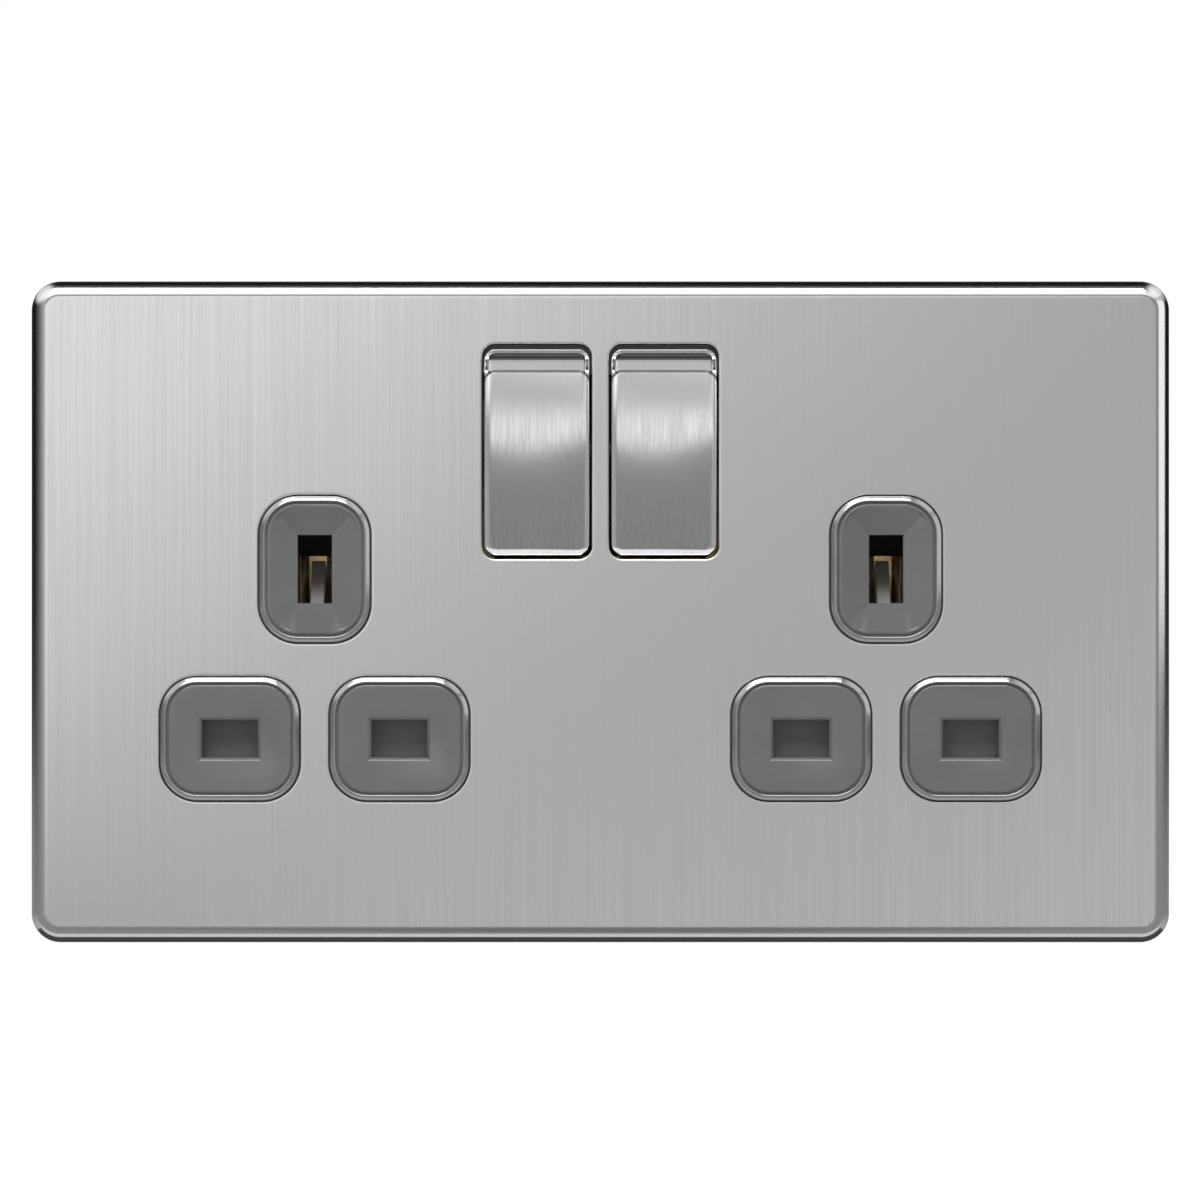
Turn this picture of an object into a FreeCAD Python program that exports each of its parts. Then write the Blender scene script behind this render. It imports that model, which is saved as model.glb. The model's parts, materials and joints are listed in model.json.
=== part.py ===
"""Twin switched wall socket with a screwless pressed-metal front plate.

Millimetres. The origin lies on the wall plane at the centre of the plate.
+X is right and +Z is up, seen from the room. The front faces -Y, and what
lies at +Y sinks into the wall box.
"""
import FreeCAD
import Part
import math
import os

os.makedirs("parts", exist_ok=True)

# Front plate
plate_width = 149.2
plate_height = 86.7
plate_corner_r = 3.8
plate_projection = 5.0
plate_sheet = 0.8
plate_bend_r = 2.1
plate_wall_gap = 0.2
notch_width = 8.0
notch_depth = 1.2

# Pins of the plug and the places of the two outlets
outlet_pitch = 74.8
pin_pitch = 22.2
earth_z = 5.6
pin_length = 17.7
earth_pin_length = 22.7
slot_width = 7.3
slot_height = 4.85
slot_chamfer = 0.4
earth_slot_width = 4.5
earth_slot_height = 8.95

# Raised bosses round the apertures
boss_height = 0.8
boss_width = 18.4
boss_length = 16.2
boss_corner_r = 5.0
earth_boss_width = 14.8
earth_boss_length = 19.0
earth_boss_corner_r = 5.2
boss_edge = 0.5
boss_rim = 0.95
boss_face_sink = 0.25
dish_depth = 0.65

# Clearances
running_gap = 0.3
seat_gap = 0.2
snap_gap = 0.1
bore_gap = 0.05
sliding_gap = 0.1

# How far shapes of one moulding run into each other, and cuts run past a face
merge = 0.5
past = 1.0

# Carrier frame
fixing_pitch = 120.6
fixing_hole_r = 2.0
fixing_head_r = 3.8
fixing_boss_half = 6.5
fixing_floor = 1.5
frame_wall = 2.0
fixing_boss_cut = 3.0
frame_rib = 1.4
frame_rib_xs = (30.0, 60.0)
frame_rib_start = 5.0
lug_rib_offset = 4.0
frame_web = 2.8
lip_thickness = 1.2
snap_length = 9.0
snap_slit = 1.2
snap_spacing = 46.0
snap_low = 0.6
snap_high = 2.2
snap_ramp = 0.6

# Module behind the plate: wings for the outlets, tower for the switches
wing_half = 53.2
wing_top = 14.0
tower_half = 17.6
tower_margin = 5.55
lip_extra = 1.2
lip_outer_half = 59.4
lip_outer_top = -6.0
module_corner = 1.0
rear_extra = 1.3
rear_wall = 1.6
rear_tower_rise = 12.0
rib = 1.2

# Rocker switches
rocker_pitch = 16.62
rocker_drop = 22.35
rocker_width = 13.7
rocker_swing_r = 14.95
rocker_pivot_y = 1.5
rocker_throw = 10.0
rocker_opening_width = 14.4
rocker_opening_height = 28.26
rocker_opening_r = 2.0
cap_sheet = 0.9
rim_depth = 7.2
skirt_depth = 1.5
skirt_mid = 5.0
foot_bevel_run = 3.0
foot_bevel_rise = 2.1
cove_depth = 6.9
cove_step = 0.55
cove_run = 1.45
cove_top_depth = 7.9
cove_mid_depth = 7.15
cove_mid_run = 0.95
cove_lean = 0.25
front_room = 9.3
crown_r = 150.0
crown_reach = 8.35
crown_bevel = 0.55
rocker_corner_r = 2.6
rocker_front_half = 13.8
well_wall = 1.6
well_ear_depth = 5.0
well_ear_half = 5.0
well_ear_slope = 2.0
well_floor_rise = 10.2
well_floor_thickness = 0.7
skirt_low = 2.9
skirt_top = 5.0
trunnion_r = 1.6
trunnion_grip = 0.85
body_wall = 1.3
hollow_low = 11.2
hollow_high = 10.2
hollow_depth = 5.7
cheek_depth = 6.0
cheek_wide = 5.0
cheek_narrow = 1.8
cheek_back = 2.4

# Plunger and see-saw contact
tube_half = 2.5
plunger_r = 1.6
plunger_start = 1.0
plunger_tip_r = 1.2
plunger_gap = 0.15
tube_root = 6.2
tube_end = 4.0
spring_seat = 5.2
spring_wire_r = 0.2
spring_play = 0.35
coil_steps = 6
plunger_spring_turns = 4
shutter_spring_turns = 5
seesaw_room = 3.3
seesaw_half_width = 2.0
seesaw_up = 8.0
seesaw_down = 7.0
seesaw_ratio = 1.6
seesaw_pin_r = 0.42
contact_pad_half = 1.2
contact_pad_z = 6.0
contact_pad_height = 0.5
seesaw_pin_reach = 1.2
cradle_arm = 0.8
cradle_lip = 0.3
contact_air = 0.3

# Brass strips
brass = 0.8
strip_width = 3.0
strip_run_z = -6.0
strip_drop_x = 15.5
feed_x = 4.5
pin_tip_air = 1.5
earth_tip_air = 0.5
bar_drop = 2.0
neutral_z = -9.0
earth_bar_low = 3.0
earth_bar_high = 7.5
jaw_width = 6.4
jaw_throat = 0.95
jaw_mouth = 2.4
jaw_back = 2.5
jaw_reach = 7.0
jaw_flare = 2.2
jaw_shoulder = 2.4
earth_jaw_throat = 1.55
earth_jaw_mouth = 2.5
earth_jaw_back = 2.4
earth_jaw_low = 1.2
earth_jaw_front = 1.4
earth_jaw_pinch = 5.5
earth_jaw_shoulder = 9.5
leaf = 0.4
leaf_foot_z = 7.0
leaf_stem_z = 3.6
leaf_knee_z = 1.5
leaf_crest_z = -3.0
leaf_tip_z = -6.0
leaf_bow = 0.9
leaf_kick = 0.2
leaf_room = 0.8
leaf_recess = 1.4
leaf_slot_half = 1.8
leaf_slot_low = 2.8
leaf_slot_high = 4.3
leaf_recess_low = -7.5

# Shutters
shutter_travel = 5.4
shutter_room = 1.1
shutter_corner = 1.0
shutter_plate = 1.6
shutter_half = 15.2
shutter_low = -19.5
shutter_high = -13.7
stem_half = 3.5
leg_half = 2.2
leg_low = -1.6
leg_high = 0.6
ramp_half = 0.9
ramp_front = 2.0
ramp_back = 8.6
ramp_top = 6.8
shutter_spring_r = 1.4
shutter_spring_y = 4.6
shelf_z = -12.6
shelf_front = 2.2
rail_start = 2.0

# Terminals and fasteners
terminal_pitch = 9.0
terminal_width = 7.2
terminal_depth = 8.0
terminal_low = -21.5
terminal_high = -12.5
terminal_pad = 2.0
terminal_bevel = 0.5
cable_bore_r = 2.2
cable_entry_half = 2.6
bore_end_wall = 1.0
clamp_screw_r = 1.7
clamp_head_r = 2.3
clamp_head = 1.6
clamp_head_air = 0.8
access_half = 2.6
clamp_slot = 0.7
clamp_slot_half = 0.4
screw_r = 1.4
screw_head_r = 2.6
screw_head = 1.6
screw_boss_half = 2.2
screw_head_boss = 3.2
screw_seat = 1.2
screw_sink = 0.2
screw_web = 0.6
screw_tip_air = 0.4
recess_depth = 0.8
recess_long = 1.5
recess_wide = 0.35
upper_screw_x = 49.6
upper_screw_z = 8.5
lower_screw_x = 19.6
lower_screw_z = -23.4
post_end = 6.0

# Ribs and pads on the floor of the rear moulding
floor_gap = 0.2
contact_rib_x = 4.9
contact_rib_drop = 2.5
pad_half = 2.2
small_pad_half = 1.2
terminal_pad_half = 2.8
terminal_pad_bar = 0.7
terminal_pad_inset = 0.8

# Levels along the depth, worked out from the sizes above
plate_front = -plate_projection
plate_under = plate_front + plate_sheet
module_front = plate_under + seat_gap
boss_front = plate_front - boss_height
parting = module_front + frame_web
lip_back = module_front + lip_thickness
shutter_front = parting + seat_gap
shutter_back = shutter_front + shutter_plate
rib_front = shutter_back + running_gap
pin_row_z = earth_z - pin_pitch
strip_back = boss_front + pin_length + pin_tip_air
strip_front = strip_back - brass
earth_bar_y = boss_front + earth_pin_length + earth_tip_air
rear_floor = earth_bar_y + brass + floor_gap
rear_depth = rear_floor + rear_wall
terminal_back = rear_floor - terminal_pad
terminal_front = terminal_back - terminal_depth
terminal_z = (terminal_low + terminal_high) / 2
entry_y = (terminal_front + terminal_back) / 2
seesaw_y = strip_front - seesaw_room
plunger_reach = seesaw_y - brass / 2 - plunger_gap - rocker_pivot_y
wing_bottom = shutter_low - shutter_travel - shutter_room
rocker_z = plate_height / 2 - rocker_drop
well_floor_z = rocker_z + well_floor_rise
tower_top = plate_height / 2 - tower_margin
rear_tower_top = rocker_z + rear_tower_rise
outlets = {"left": -outlet_pitch / 2, "right": outlet_pitch / 2}
rockers = {"left": -rocker_pitch / 2, "right": rocker_pitch / 2}
well_half = rocker_width / 2 + running_gap
well_reach = rocker_swing_r + seat_gap


def at(x, y, z):
    return FreeCAD.Vector(x, y, z)


def block(x0, x1, y0, y1, z0, z1):
    """Square-edged block between two corners."""
    return Part.makeBox(x1 - x0, y1 - y0, z1 - z0, at(x0, y0, z0))


def rod_y(x, z, radius, y0, y1):
    """Round rod that runs into the wall."""
    return Part.makeCylinder(radius, y1 - y0, at(x, y0, z), at(0, 1, 0))


def rod_x(y, z, radius, x0, x1):
    """Round rod from left to right."""
    return Part.makeCylinder(radius, x1 - x0, at(x0, y, z), at(1, 0, 0))


def rod_z(x, y, radius, z0, z1):
    """Round upright rod."""
    return Part.makeCylinder(radius, z1 - z0, at(x, y, z0), at(0, 0, 1))


def join(shapes):
    """One solid from several that touch or overlap."""
    first = shapes[0]
    return first.multiFuse(shapes[1:]).removeSplitter()


def rounded_wire(width, height, radius, y, x_mid=0.0, z_mid=0.0):
    """Rounded rectangle in a plane parallel to the wall."""
    edges = []
    ends = []
    for turn, (side_x, side_z) in enumerate([(1, 1), (-1, 1), (-1, -1), (1, -1)]):
        corner_x = x_mid + side_x * (width / 2 - radius)
        corner_z = z_mid + side_z * (height / 2 - radius)
        arc_points = []
        for part_turn in (0.0, 0.5, 1.0):
            angle = math.radians(90.0 * (turn + part_turn))
            arc_points.append(at(corner_x + radius * math.cos(angle), y,
                                 corner_z + radius * math.sin(angle)))
        edges.append(Part.Arc(*arc_points).toShape())
        ends.append((arc_points[0], arc_points[2]))
    for turn in range(4):
        edges.append(Part.LineSegment(ends[turn][1], ends[(turn + 1) % 4][0]).toShape())
    return Part.Wire(Part.__sortEdges__(edges))


def rounded_slab(width, height, radius, y0, y1, x_mid=0.0, z_mid=0.0):
    """Slab with rounded corners, parallel to the wall."""
    face = Part.Face(rounded_wire(width, height, radius, y0, x_mid, z_mid))
    return face.extrude(at(0, y1 - y0, 0))


def mitred_slab(x0, x1, z0, z1, corner, y0, y1):
    """Slab parallel to the wall, given by its sides, with its corners cut off."""
    outline = [(x0 + corner, z0), (x1 - corner, z0), (x1, z0 + corner), (x1, z1 - corner),
               (x1 - corner, z1), (x0 + corner, z1), (x0, z1 - corner), (x0, z0 + corner)]
    wire = Part.makePolygon([at(x, y0, z) for x, z in outline + outline[:1]])
    return Part.Face(wire).extrude(at(0, y1 - y0, 0))


def level_edges(solid, y):
    """The edges that lie in one plane parallel to the wall."""
    found = []
    for edge in solid.Edges:
        box = edge.BoundBox
        if abs(box.YMin - y) < 0.001 and abs(box.YMax - y) < 0.001:
            found.append(edge)
    return found


def soften_front(solid, y, radius):
    """Round the edges that lie at one level."""
    return solid.makeFillet(radius, level_edges(solid, y))


def bevel_front(solid, y, depth):
    """Bevel the edges that lie at one level."""
    return solid.makeChamfer(depth, level_edges(solid, y))


def prism_x(points, x0, x1):
    """Outline in depth and height, (y, z), carried from left to right."""
    wire = Part.makePolygon([at(x0, y, z) for y, z in points] + [at(x0, *points[0])])
    return Part.Face(wire).extrude(at(x1 - x0, 0, 0))


def prism_z(points, z0, z1):
    """Outline in plan, (x, y), carried upwards."""
    wire = Part.makePolygon([at(x, y, z0) for x, y in points + points[:1]])
    return Part.Face(wire).extrude(at(0, 0, z1 - z0))


def strip_outline(path, thickness):
    """Outline of a bent strip: the path moved half a thickness to each side."""
    normals = []
    for (a0, b0), (a1, b1) in zip(path, path[1:]):
        length = math.hypot(a1 - a0, b1 - b0)
        normals.append(((b0 - b1) / length, (a1 - a0) / length))
    left = []
    right = []
    for index, (a, b) in enumerate(path):
        n0 = normals[max(index - 1, 0)]
        n1 = normals[min(index, len(normals) - 1)]
        spread = 1 + n0[0] * n1[0] + n0[1] * n1[1]
        shift_a = (n0[0] + n1[0]) / spread * thickness / 2
        shift_b = (n0[1] + n1[1]) / spread * thickness / 2
        left.append((a + shift_a, b + shift_b))
        right.append((a - shift_a, b - shift_b))
    return left + right[::-1]


def coil(radius, wire_r, length, turns):
    """Coil spring of square wire that stands on the origin, along +Z.

    Ruled loft through square sections, each turned and raised from the last.
    """
    sections = []
    steps = turns * coil_steps
    rise = (length - 2 * wire_r) / steps
    for step in range(steps + 1):
        angle = 2 * math.pi * step / coil_steps
        middle = wire_r + step * rise
        corners = []
        for a, b in ((-1, -1), (1, -1), (1, 1), (-1, 1), (-1, -1)):
            reach = radius + a * wire_r
            corners.append(at(reach * math.cos(angle), reach * math.sin(angle),
                              middle + b * wire_r))
        sections.append(Part.makePolygon(corners))
    return Part.makeLoft(sections, True, True)


def boss_places():
    """Middle and size of each boss with its aperture, outlet by outlet."""
    places = []
    for x in outlets.values():
        for side in (-1, 1):
            places.append((x + side * pin_pitch / 2, pin_row_z, boss_width, boss_length,
                           boss_corner_r, slot_width, slot_height, False))
        places.append((x, earth_z, earth_boss_width, earth_boss_length,
                       earth_boss_corner_r, earth_slot_width, earth_slot_height, True))
    return places


def front_plate():
    """Pressed sheet: a shallow tray with a rolled edge and eight openings."""
    outer = rounded_slab(plate_width, plate_height, plate_corner_r,
                         plate_front, -plate_wall_gap)
    outer = soften_front(outer, plate_front, plate_bend_r)
    hollow = rounded_slab(plate_width - 2 * plate_sheet, plate_height - 2 * plate_sheet,
                          plate_corner_r - plate_sheet, plate_under, -plate_wall_gap)
    hollow = bevel_front(hollow, plate_under, plate_bend_r - plate_sheet)
    openings = []
    for x, z, width, length, corner_r, _, _, _ in boss_places():
        openings.append(rounded_slab(width + 2 * running_gap, length + 2 * running_gap,
                                     corner_r + running_gap, plate_front - past,
                                     plate_under + past, x, z))
    for x in rockers.values():
        openings.append(rounded_slab(rocker_opening_width, rocker_opening_height,
                                     rocker_opening_r, plate_front - past,
                                     plate_under + past, x, rocker_z))
    notch = block(-notch_width / 2, notch_width / 2, -plate_wall_gap - notch_depth, 0,
                  -plate_height / 2 - past, -plate_height / 2 + plate_sheet + merge)
    return outer.cut([hollow, notch] + openings)


def frame_outer():
    """Half sizes of the carrier frame, which fills the plate."""
    half_x = plate_width / 2 - plate_sheet - running_gap
    half_z = plate_height / 2 - plate_sheet - running_gap
    return half_x, half_z


def module_outline(grow, y0, y1, tower=tower_top):
    """Plan of the module, with its wings and its tower, grown all round."""
    wings = mitred_slab(-wing_half - grow, wing_half + grow, wing_bottom - grow,
                        wing_top + grow, module_corner, y0, y1)
    top = mitred_slab(-tower_half - grow, tower_half + grow, 0, tower + grow,
                      module_corner, y0, y1)
    return join([wings, top])


def lip_outline(grow, y0, y1):
    """Plan of the flange that rests in the frame and carries the outer bosses."""
    wide = mitred_slab(-lip_outer_half - grow, lip_outer_half + grow,
                       wing_bottom - lip_extra - grow, lip_outer_top + grow,
                       module_corner, y0, y1)
    return join([module_outline(lip_extra + grow, y0, y1), wide])


def frame_snaps(half_x, half_z):
    """Bumps on the rim of the frame, two above, two below and one at each end."""
    bumps = []
    bump_reach = running_gap - snap_gap
    for x in (-snap_spacing, snap_spacing):
        for side in (-1, 1):
            face = side * half_z
            profile = [(-snap_high, face), (snap_ramp - snap_high, face + side * bump_reach),
                       (-snap_low - snap_ramp, face + side * bump_reach), (-snap_low, face)]
            bumps.append(prism_x(profile, x - snap_length / 3, x + snap_length / 3))
    for side in (-1, 1):
        face = side * half_x
        profile = [(face, -snap_high), (face + side * bump_reach, snap_ramp - snap_high),
                   (face + side * bump_reach, -snap_low - snap_ramp), (face, -snap_low)]
        bumps.append(prism_z(profile, -snap_length / 3, snap_length / 3))
    return bumps


def clip_frame():
    """Moulded carrier: takes the wall screws, the module and the snap-on plate."""
    half_x, half_z = frame_outer()
    corner = plate_corner_r - plate_sheet - running_gap
    frame = rounded_slab(2 * half_x, 2 * half_z, corner, module_front, 0)
    frame = bevel_front(frame, module_front, plate_bend_r - plate_sheet)
    well = rounded_slab(2 * half_x - 2 * frame_wall, 2 * half_z - 2 * frame_wall,
                        corner / 2, parting, past)
    keep = []
    for side in (-1, 1):
        lug_x = side * fixing_pitch / 2
        keep.append(mitred_slab(lug_x - fixing_boss_half, lug_x + fixing_boss_half,
                                -fixing_boss_half, fixing_boss_half, fixing_boss_cut,
                                parting, 0))
        for offset in (-lug_rib_offset, lug_rib_offset):
            outer_x = side * (half_x - frame_wall / 2)
            keep.append(block(min(lug_x, outer_x), max(lug_x, outer_x), parting, 0,
                              offset - frame_rib / 2, offset + frame_rib / 2))
        for x in frame_rib_xs:
            keep.append(block(side * x - frame_rib / 2, side * x + frame_rib / 2, parting,
                              0, wing_top + frame_rib_start, half_z - frame_wall / 2))
            keep.append(block(side * x - frame_rib / 2, side * x + frame_rib / 2, parting,
                              0, -half_z + frame_wall / 2,
                              wing_bottom - frame_rib_start))
    frame = frame.cut(well.cut(keep))
    cuts = [module_outline(running_gap, module_front - past, past),
            module_outline(rear_extra + running_gap, parting, past),
            lip_outline(sliding_gap, module_front - past, lip_back)]
    for side in (-1, 1):
        lug_x = side * fixing_pitch / 2
        cuts.append(rod_y(lug_x, 0, fixing_hole_r, module_front - past, past))
        cuts.append(rod_y(lug_x, 0, fixing_head_r, module_front - past, -fixing_floor))
    for x in (-snap_spacing, snap_spacing):
        for side in (-1, 1):
            for end in (-1, 1):
                slit_x = x + end * (snap_length + snap_slit) / 2
                z_edge = side * half_z
                z_in = z_edge - side * (frame_wall + seat_gap)
                z_out = z_edge + side * past
                cuts.append(block(slit_x - snap_slit / 2, slit_x + snap_slit / 2,
                                  parting, past, min(z_in, z_out), max(z_in, z_out)))
    frame = frame.cut(cuts)
    return join([frame] + frame_snaps(half_x, half_z))


def boss(x, z, width, length, corner_r, slot_w, slot_h, is_earth):
    """Raised boss with a rounded rim, a sunk face and its lead-in."""
    body = rounded_slab(width, length, corner_r, boss_front, module_front + merge, x, z)
    body = bevel_front(body, boss_front, boss_edge)
    face_w = width - 2 * boss_rim
    face_h = length - 2 * boss_rim
    sunk_y = boss_front + boss_face_sink
    sunk = rounded_slab(face_w, face_h, corner_r - boss_rim, boss_front - past, sunk_y, x, z)
    if is_earth:
        return body.cut([sunk, earth_dish(x, z, face_w, face_h, corner_r - boss_rim, sunk_y)])
    lead = rectangle_funnel(x, z, slot_w, slot_h, sunk_y + slot_chamfer,
                            slot_w + 2 * slot_chamfer, slot_h + 2 * slot_chamfer, sunk_y)
    return body.cut([sunk, lead])


def rectangle_funnel(x, z, deep_w, deep_h, deep_y, wide_w, wide_h, wide_y):
    """Four-sided funnel from a wide front rectangle to a narrow deep one."""
    return Part.makeWedge(x - wide_w / 2, wide_y, z - wide_h / 2, z - deep_h / 2,
                          x - deep_w / 2, x + wide_w / 2, deep_y, z + wide_h / 2,
                          z + deep_h / 2, x + deep_w / 2)


def earth_dish(x, z, face_w, face_h, corner_r, sunk_y):
    """Shallow four-sided dish that guides the long pin, kept inside the rim."""
    funnel = rectangle_funnel(x, z, earth_slot_width, earth_slot_height, sunk_y + dish_depth,
                              face_w, face_h, sunk_y)
    room = rounded_slab(face_w, face_h, corner_r, sunk_y - past,
                        sunk_y + dish_depth + past, x, z)
    return funnel.common(room)


def well_cut(x):
    """Room for one rocker, open to the front, with a shallow floor near its top."""
    opening = block(x - well_half, x + well_half, module_front - past, parting + past,
                    rocker_z - well_reach, well_floor_z)
    shallow = block(x - well_half, x + well_half, module_front - past,
                    parting - well_floor_thickness, well_floor_z - merge,
                    rocker_z + well_reach)
    return join([opening, shallow])


def well_ears():
    """Walls beside the rockers that go back to hold the trunnions."""
    outer = rocker_pitch / 2 + well_half
    inner = rocker_pitch / 2 - well_half
    spans = [(-outer - well_wall, -outer), (-inner, inner), (outer, outer + well_wall)]
    ears = []
    for x0, x1 in spans:
        profile = [(parting - merge, rocker_z - 2 * well_ear_half),
                   (well_ear_depth - well_ear_slope, rocker_z - well_ear_half),
                   (well_ear_depth, rocker_z - well_ear_half / 2),
                   (well_ear_depth, rocker_z + well_ear_half / 2),
                   (well_ear_depth - well_ear_slope, rocker_z + well_ear_half),
                   (parting - merge, rocker_z + 2 * well_ear_half)]
        ears.append(prism_x(profile, x0, x1))
    return ears


def trunnion_bores():
    """Blind bores for the trunnions, on both sides of each rocker."""
    bores = []
    for x in rockers.values():
        reach = well_half + trunnion_grip + seat_gap / 2
        bores.append(rod_x(rocker_pivot_y, rocker_z, trunnion_r + bore_gap,
                           x - reach, x + reach))
    return bores


def screw_places():
    """Places of the four housing screws."""
    places = []
    for side in (-1, 1):
        places.append((side * upper_screw_x, upper_screw_z))
        places.append((side * lower_screw_x, lower_screw_z))
    return places


def terminal_places():
    """Terminals from left to right: earth, neutral, live, earth."""
    names = ["earth_terminal_left", "neutral_terminal", "live_terminal",
             "earth_terminal_right"]
    return {name: (index - 1.5) * terminal_pitch for index, name in enumerate(names)}


def front_moulding():
    """Front moulding: flange, bosses, rocker wells, shutter rails and screw posts."""
    solid = join([lip_outline(0, module_front, lip_back),
                  module_outline(0, module_front, parting)])
    adds = [boss(*place) for place in boss_places()] + well_ears()
    for x, z in screw_places():
        adds.append(block(x - screw_boss_half, x + screw_boss_half, parting - merge,
                          post_end, z - screw_boss_half, z + screw_boss_half))
    for x in outlets.values():
        for side in (-1, 1):
            rail_x = x + side * (stem_half + running_gap + rib / 2)
            adds.append(block(rail_x - rib / 2, rail_x + rib / 2, parting - merge,
                              shutter_back - seat_gap, shutter_high + rail_start, leg_low))
    terminal_half = max(terminal_places().values()) + terminal_width / 2
    adds.append(block(-terminal_half, terminal_half, parting - merge, terminal_front,
                      terminal_z - rib / 2, terminal_z + rib / 2))
    solid = join([solid] + adds)
    cuts = [well_cut(x) for x in rockers.values()] + trunnion_bores()
    for x, z, _, _, _, slot_w, slot_h, _ in boss_places():
        cuts.append(block(x - slot_w / 2, x + slot_w / 2, boss_front - past, parting + past,
                          z - slot_h / 2, z + slot_h / 2))
    for x, z in screw_places():
        cuts.append(rod_y(x, z, screw_r + bore_gap, parting + screw_web, post_end + past))
    recess_half = strip_width / 2 + leaf_room
    cuts.append(block(-recess_half, recess_half, module_front - past,
                      module_front + leaf_recess, leaf_recess_low, leaf_slot_high))
    cuts.append(block(-leaf_slot_half, leaf_slot_half, module_front - past, parting + past,
                      leaf_slot_low, leaf_slot_high))
    return solid.cut(cuts).removeSplitter()


def rear_ribs():
    """Upright walls on the floor that keep the contacts apart and carry the shelf."""
    ribs = []
    low = wing_bottom
    for x in outlets.values():
        for side in (-1, 1):
            rib_x = x + side * contact_rib_x
            ribs.append(block(rib_x - rib / 2, rib_x + rib / 2, rib_front, rear_floor + merge,
                              low, neutral_z - contact_rib_drop))
            pad_x = x + side * pin_pitch / 2
            ribs.append(block(pad_x - pad_half, pad_x + pad_half, strip_back,
                              rear_floor + merge, pin_row_z - pad_half,
                              pin_row_z + pad_half))
        ribs.append(block(x - contact_rib_x, x + contact_rib_x, shelf_front,
                          rear_floor + merge, shelf_z - rib, shelf_z))
    for index in range(5):
        rib_x = (index - 2) * terminal_pitch
        ribs.append(block(rib_x - rib / 2, rib_x + rib / 2, terminal_front + seat_gap,
                          rear_floor + merge, low, terminal_high + merge))
    return ribs


def rear_pads():
    """Pads on the floor that back the terminals and the switch strips."""
    pads = []
    back = rear_floor + merge
    for x in terminal_places().values():
        for z in (terminal_low + terminal_pad_inset, terminal_high - terminal_pad_inset):
            pads.append(block(x - terminal_pad_half, x + terminal_pad_half, terminal_back, back,
                              z - terminal_pad_bar, z + terminal_pad_bar))
    half = small_pad_half
    for x in rockers.values():
        pads.append(block(x - half, x + half, strip_back, back, rocker_z - half,
                          rocker_z + half))
        fixed_z = rocker_z + contact_pad_z
        drop_x = math.copysign(strip_drop_x, x)
        pads.append(block(drop_x - half, drop_x + half, strip_back, back, fixed_z - half,
                          fixed_z + half))
    for x in outlets.values():
        pads.append(block(x - half, x + half, earth_bar_y + brass, back, earth_bar_low,
                          earth_bar_high))
    return pads


def rear_moulding():
    """Rear tray: walls, floor, ribs, pads, cable entries and screw bosses."""
    outer = module_outline(rear_extra, parting, rear_depth, rear_tower_top - rear_extra)
    inner = module_outline(rear_extra - rear_wall, parting - past, rear_floor,
                           rear_tower_top - rear_extra)
    tray = outer.cut(inner)
    adds = rear_ribs() + rear_pads()
    for x, z in screw_places():
        half = screw_boss_half
        adds.append(block(x - half, x + half, post_end, rear_floor + merge, z - half, z + half))
        half = screw_head_boss
        adds.append(block(x - half, x + half, rear_floor - screw_seat, rear_depth, z - half,
                          z + half))
    tray = join([tray] + adds)
    trim = module_outline(rear_extra, parting - past, rear_depth, rear_tower_top - rear_extra)
    tray = tray.common(trim)
    cuts = []
    for x, z in screw_places():
        cuts.append(rod_y(x, z, screw_r + sliding_gap, post_end - past, rear_depth + past))
        cuts.append(rod_y(x, z, screw_head_r + running_gap,
                          rear_depth - screw_head - screw_sink, rear_depth + past))
    for x in terminal_places().values():
        half = cable_entry_half
        cuts.append(block(x - half, x + half, entry_y - half, entry_y + half,
                          wing_bottom - rear_extra - past, wing_bottom + past))
        half = access_half
        cuts.append(block(x - half, x + half, rear_floor - merge, rear_depth + past,
                          terminal_z - half, terminal_z + half))
    return tray.cut(cuts).removeSplitter()


def swing_point(radius, depth, side):
    """Point of the swing circle at a depth in front of the pivot, above or below it."""
    return (-depth, side * math.sqrt(radius ** 2 - depth ** 2))


def rocker_side(inset, x0, x1):
    """Side outline of a rocker: arcs round the pivot, ledge on top, bevel below."""
    radius = rocker_swing_r - inset
    low_back = swing_point(radius, skirt_depth, -1)
    low_bevel = swing_point(radius, rim_depth - inset, -1)
    top_rim = swing_point(radius, rim_depth - inset, 1)
    top_back = swing_point(radius, skirt_depth, 1)
    bevel_end = (low_bevel[0] - foot_bevel_rise, low_bevel[1] + foot_bevel_run)
    cove_floor = (inset - cove_depth, top_rim[1] - cove_step)
    cove_top = (inset - cove_top_depth, cove_floor[1] - cove_run)
    front_end = (inset - front_room, cove_top[1] - cove_lean)
    cove_mid = (inset - cove_mid_depth, cove_floor[1] - cove_mid_run)

    def arc(start, middle, end):
        return Part.Arc(at(x0, *start), at(x0, *middle), at(x0, *end)).toShape()

    def line(start, end):
        return Part.LineSegment(at(x0, *start), at(x0, *end)).toShape()

    edges = [arc(low_back, swing_point(radius, skirt_mid, -1), low_bevel),
             line(low_bevel, bevel_end), line(bevel_end, front_end),
             line(front_end, cove_top), arc(cove_top, cove_mid, cove_floor),
             line(cove_floor, top_rim), arc(top_rim, swing_point(radius, skirt_mid, 1), top_back),
             line(top_back, low_back)]
    return Part.Face(Part.Wire(edges)).extrude(at(x1 - x0, 0, 0))


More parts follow.
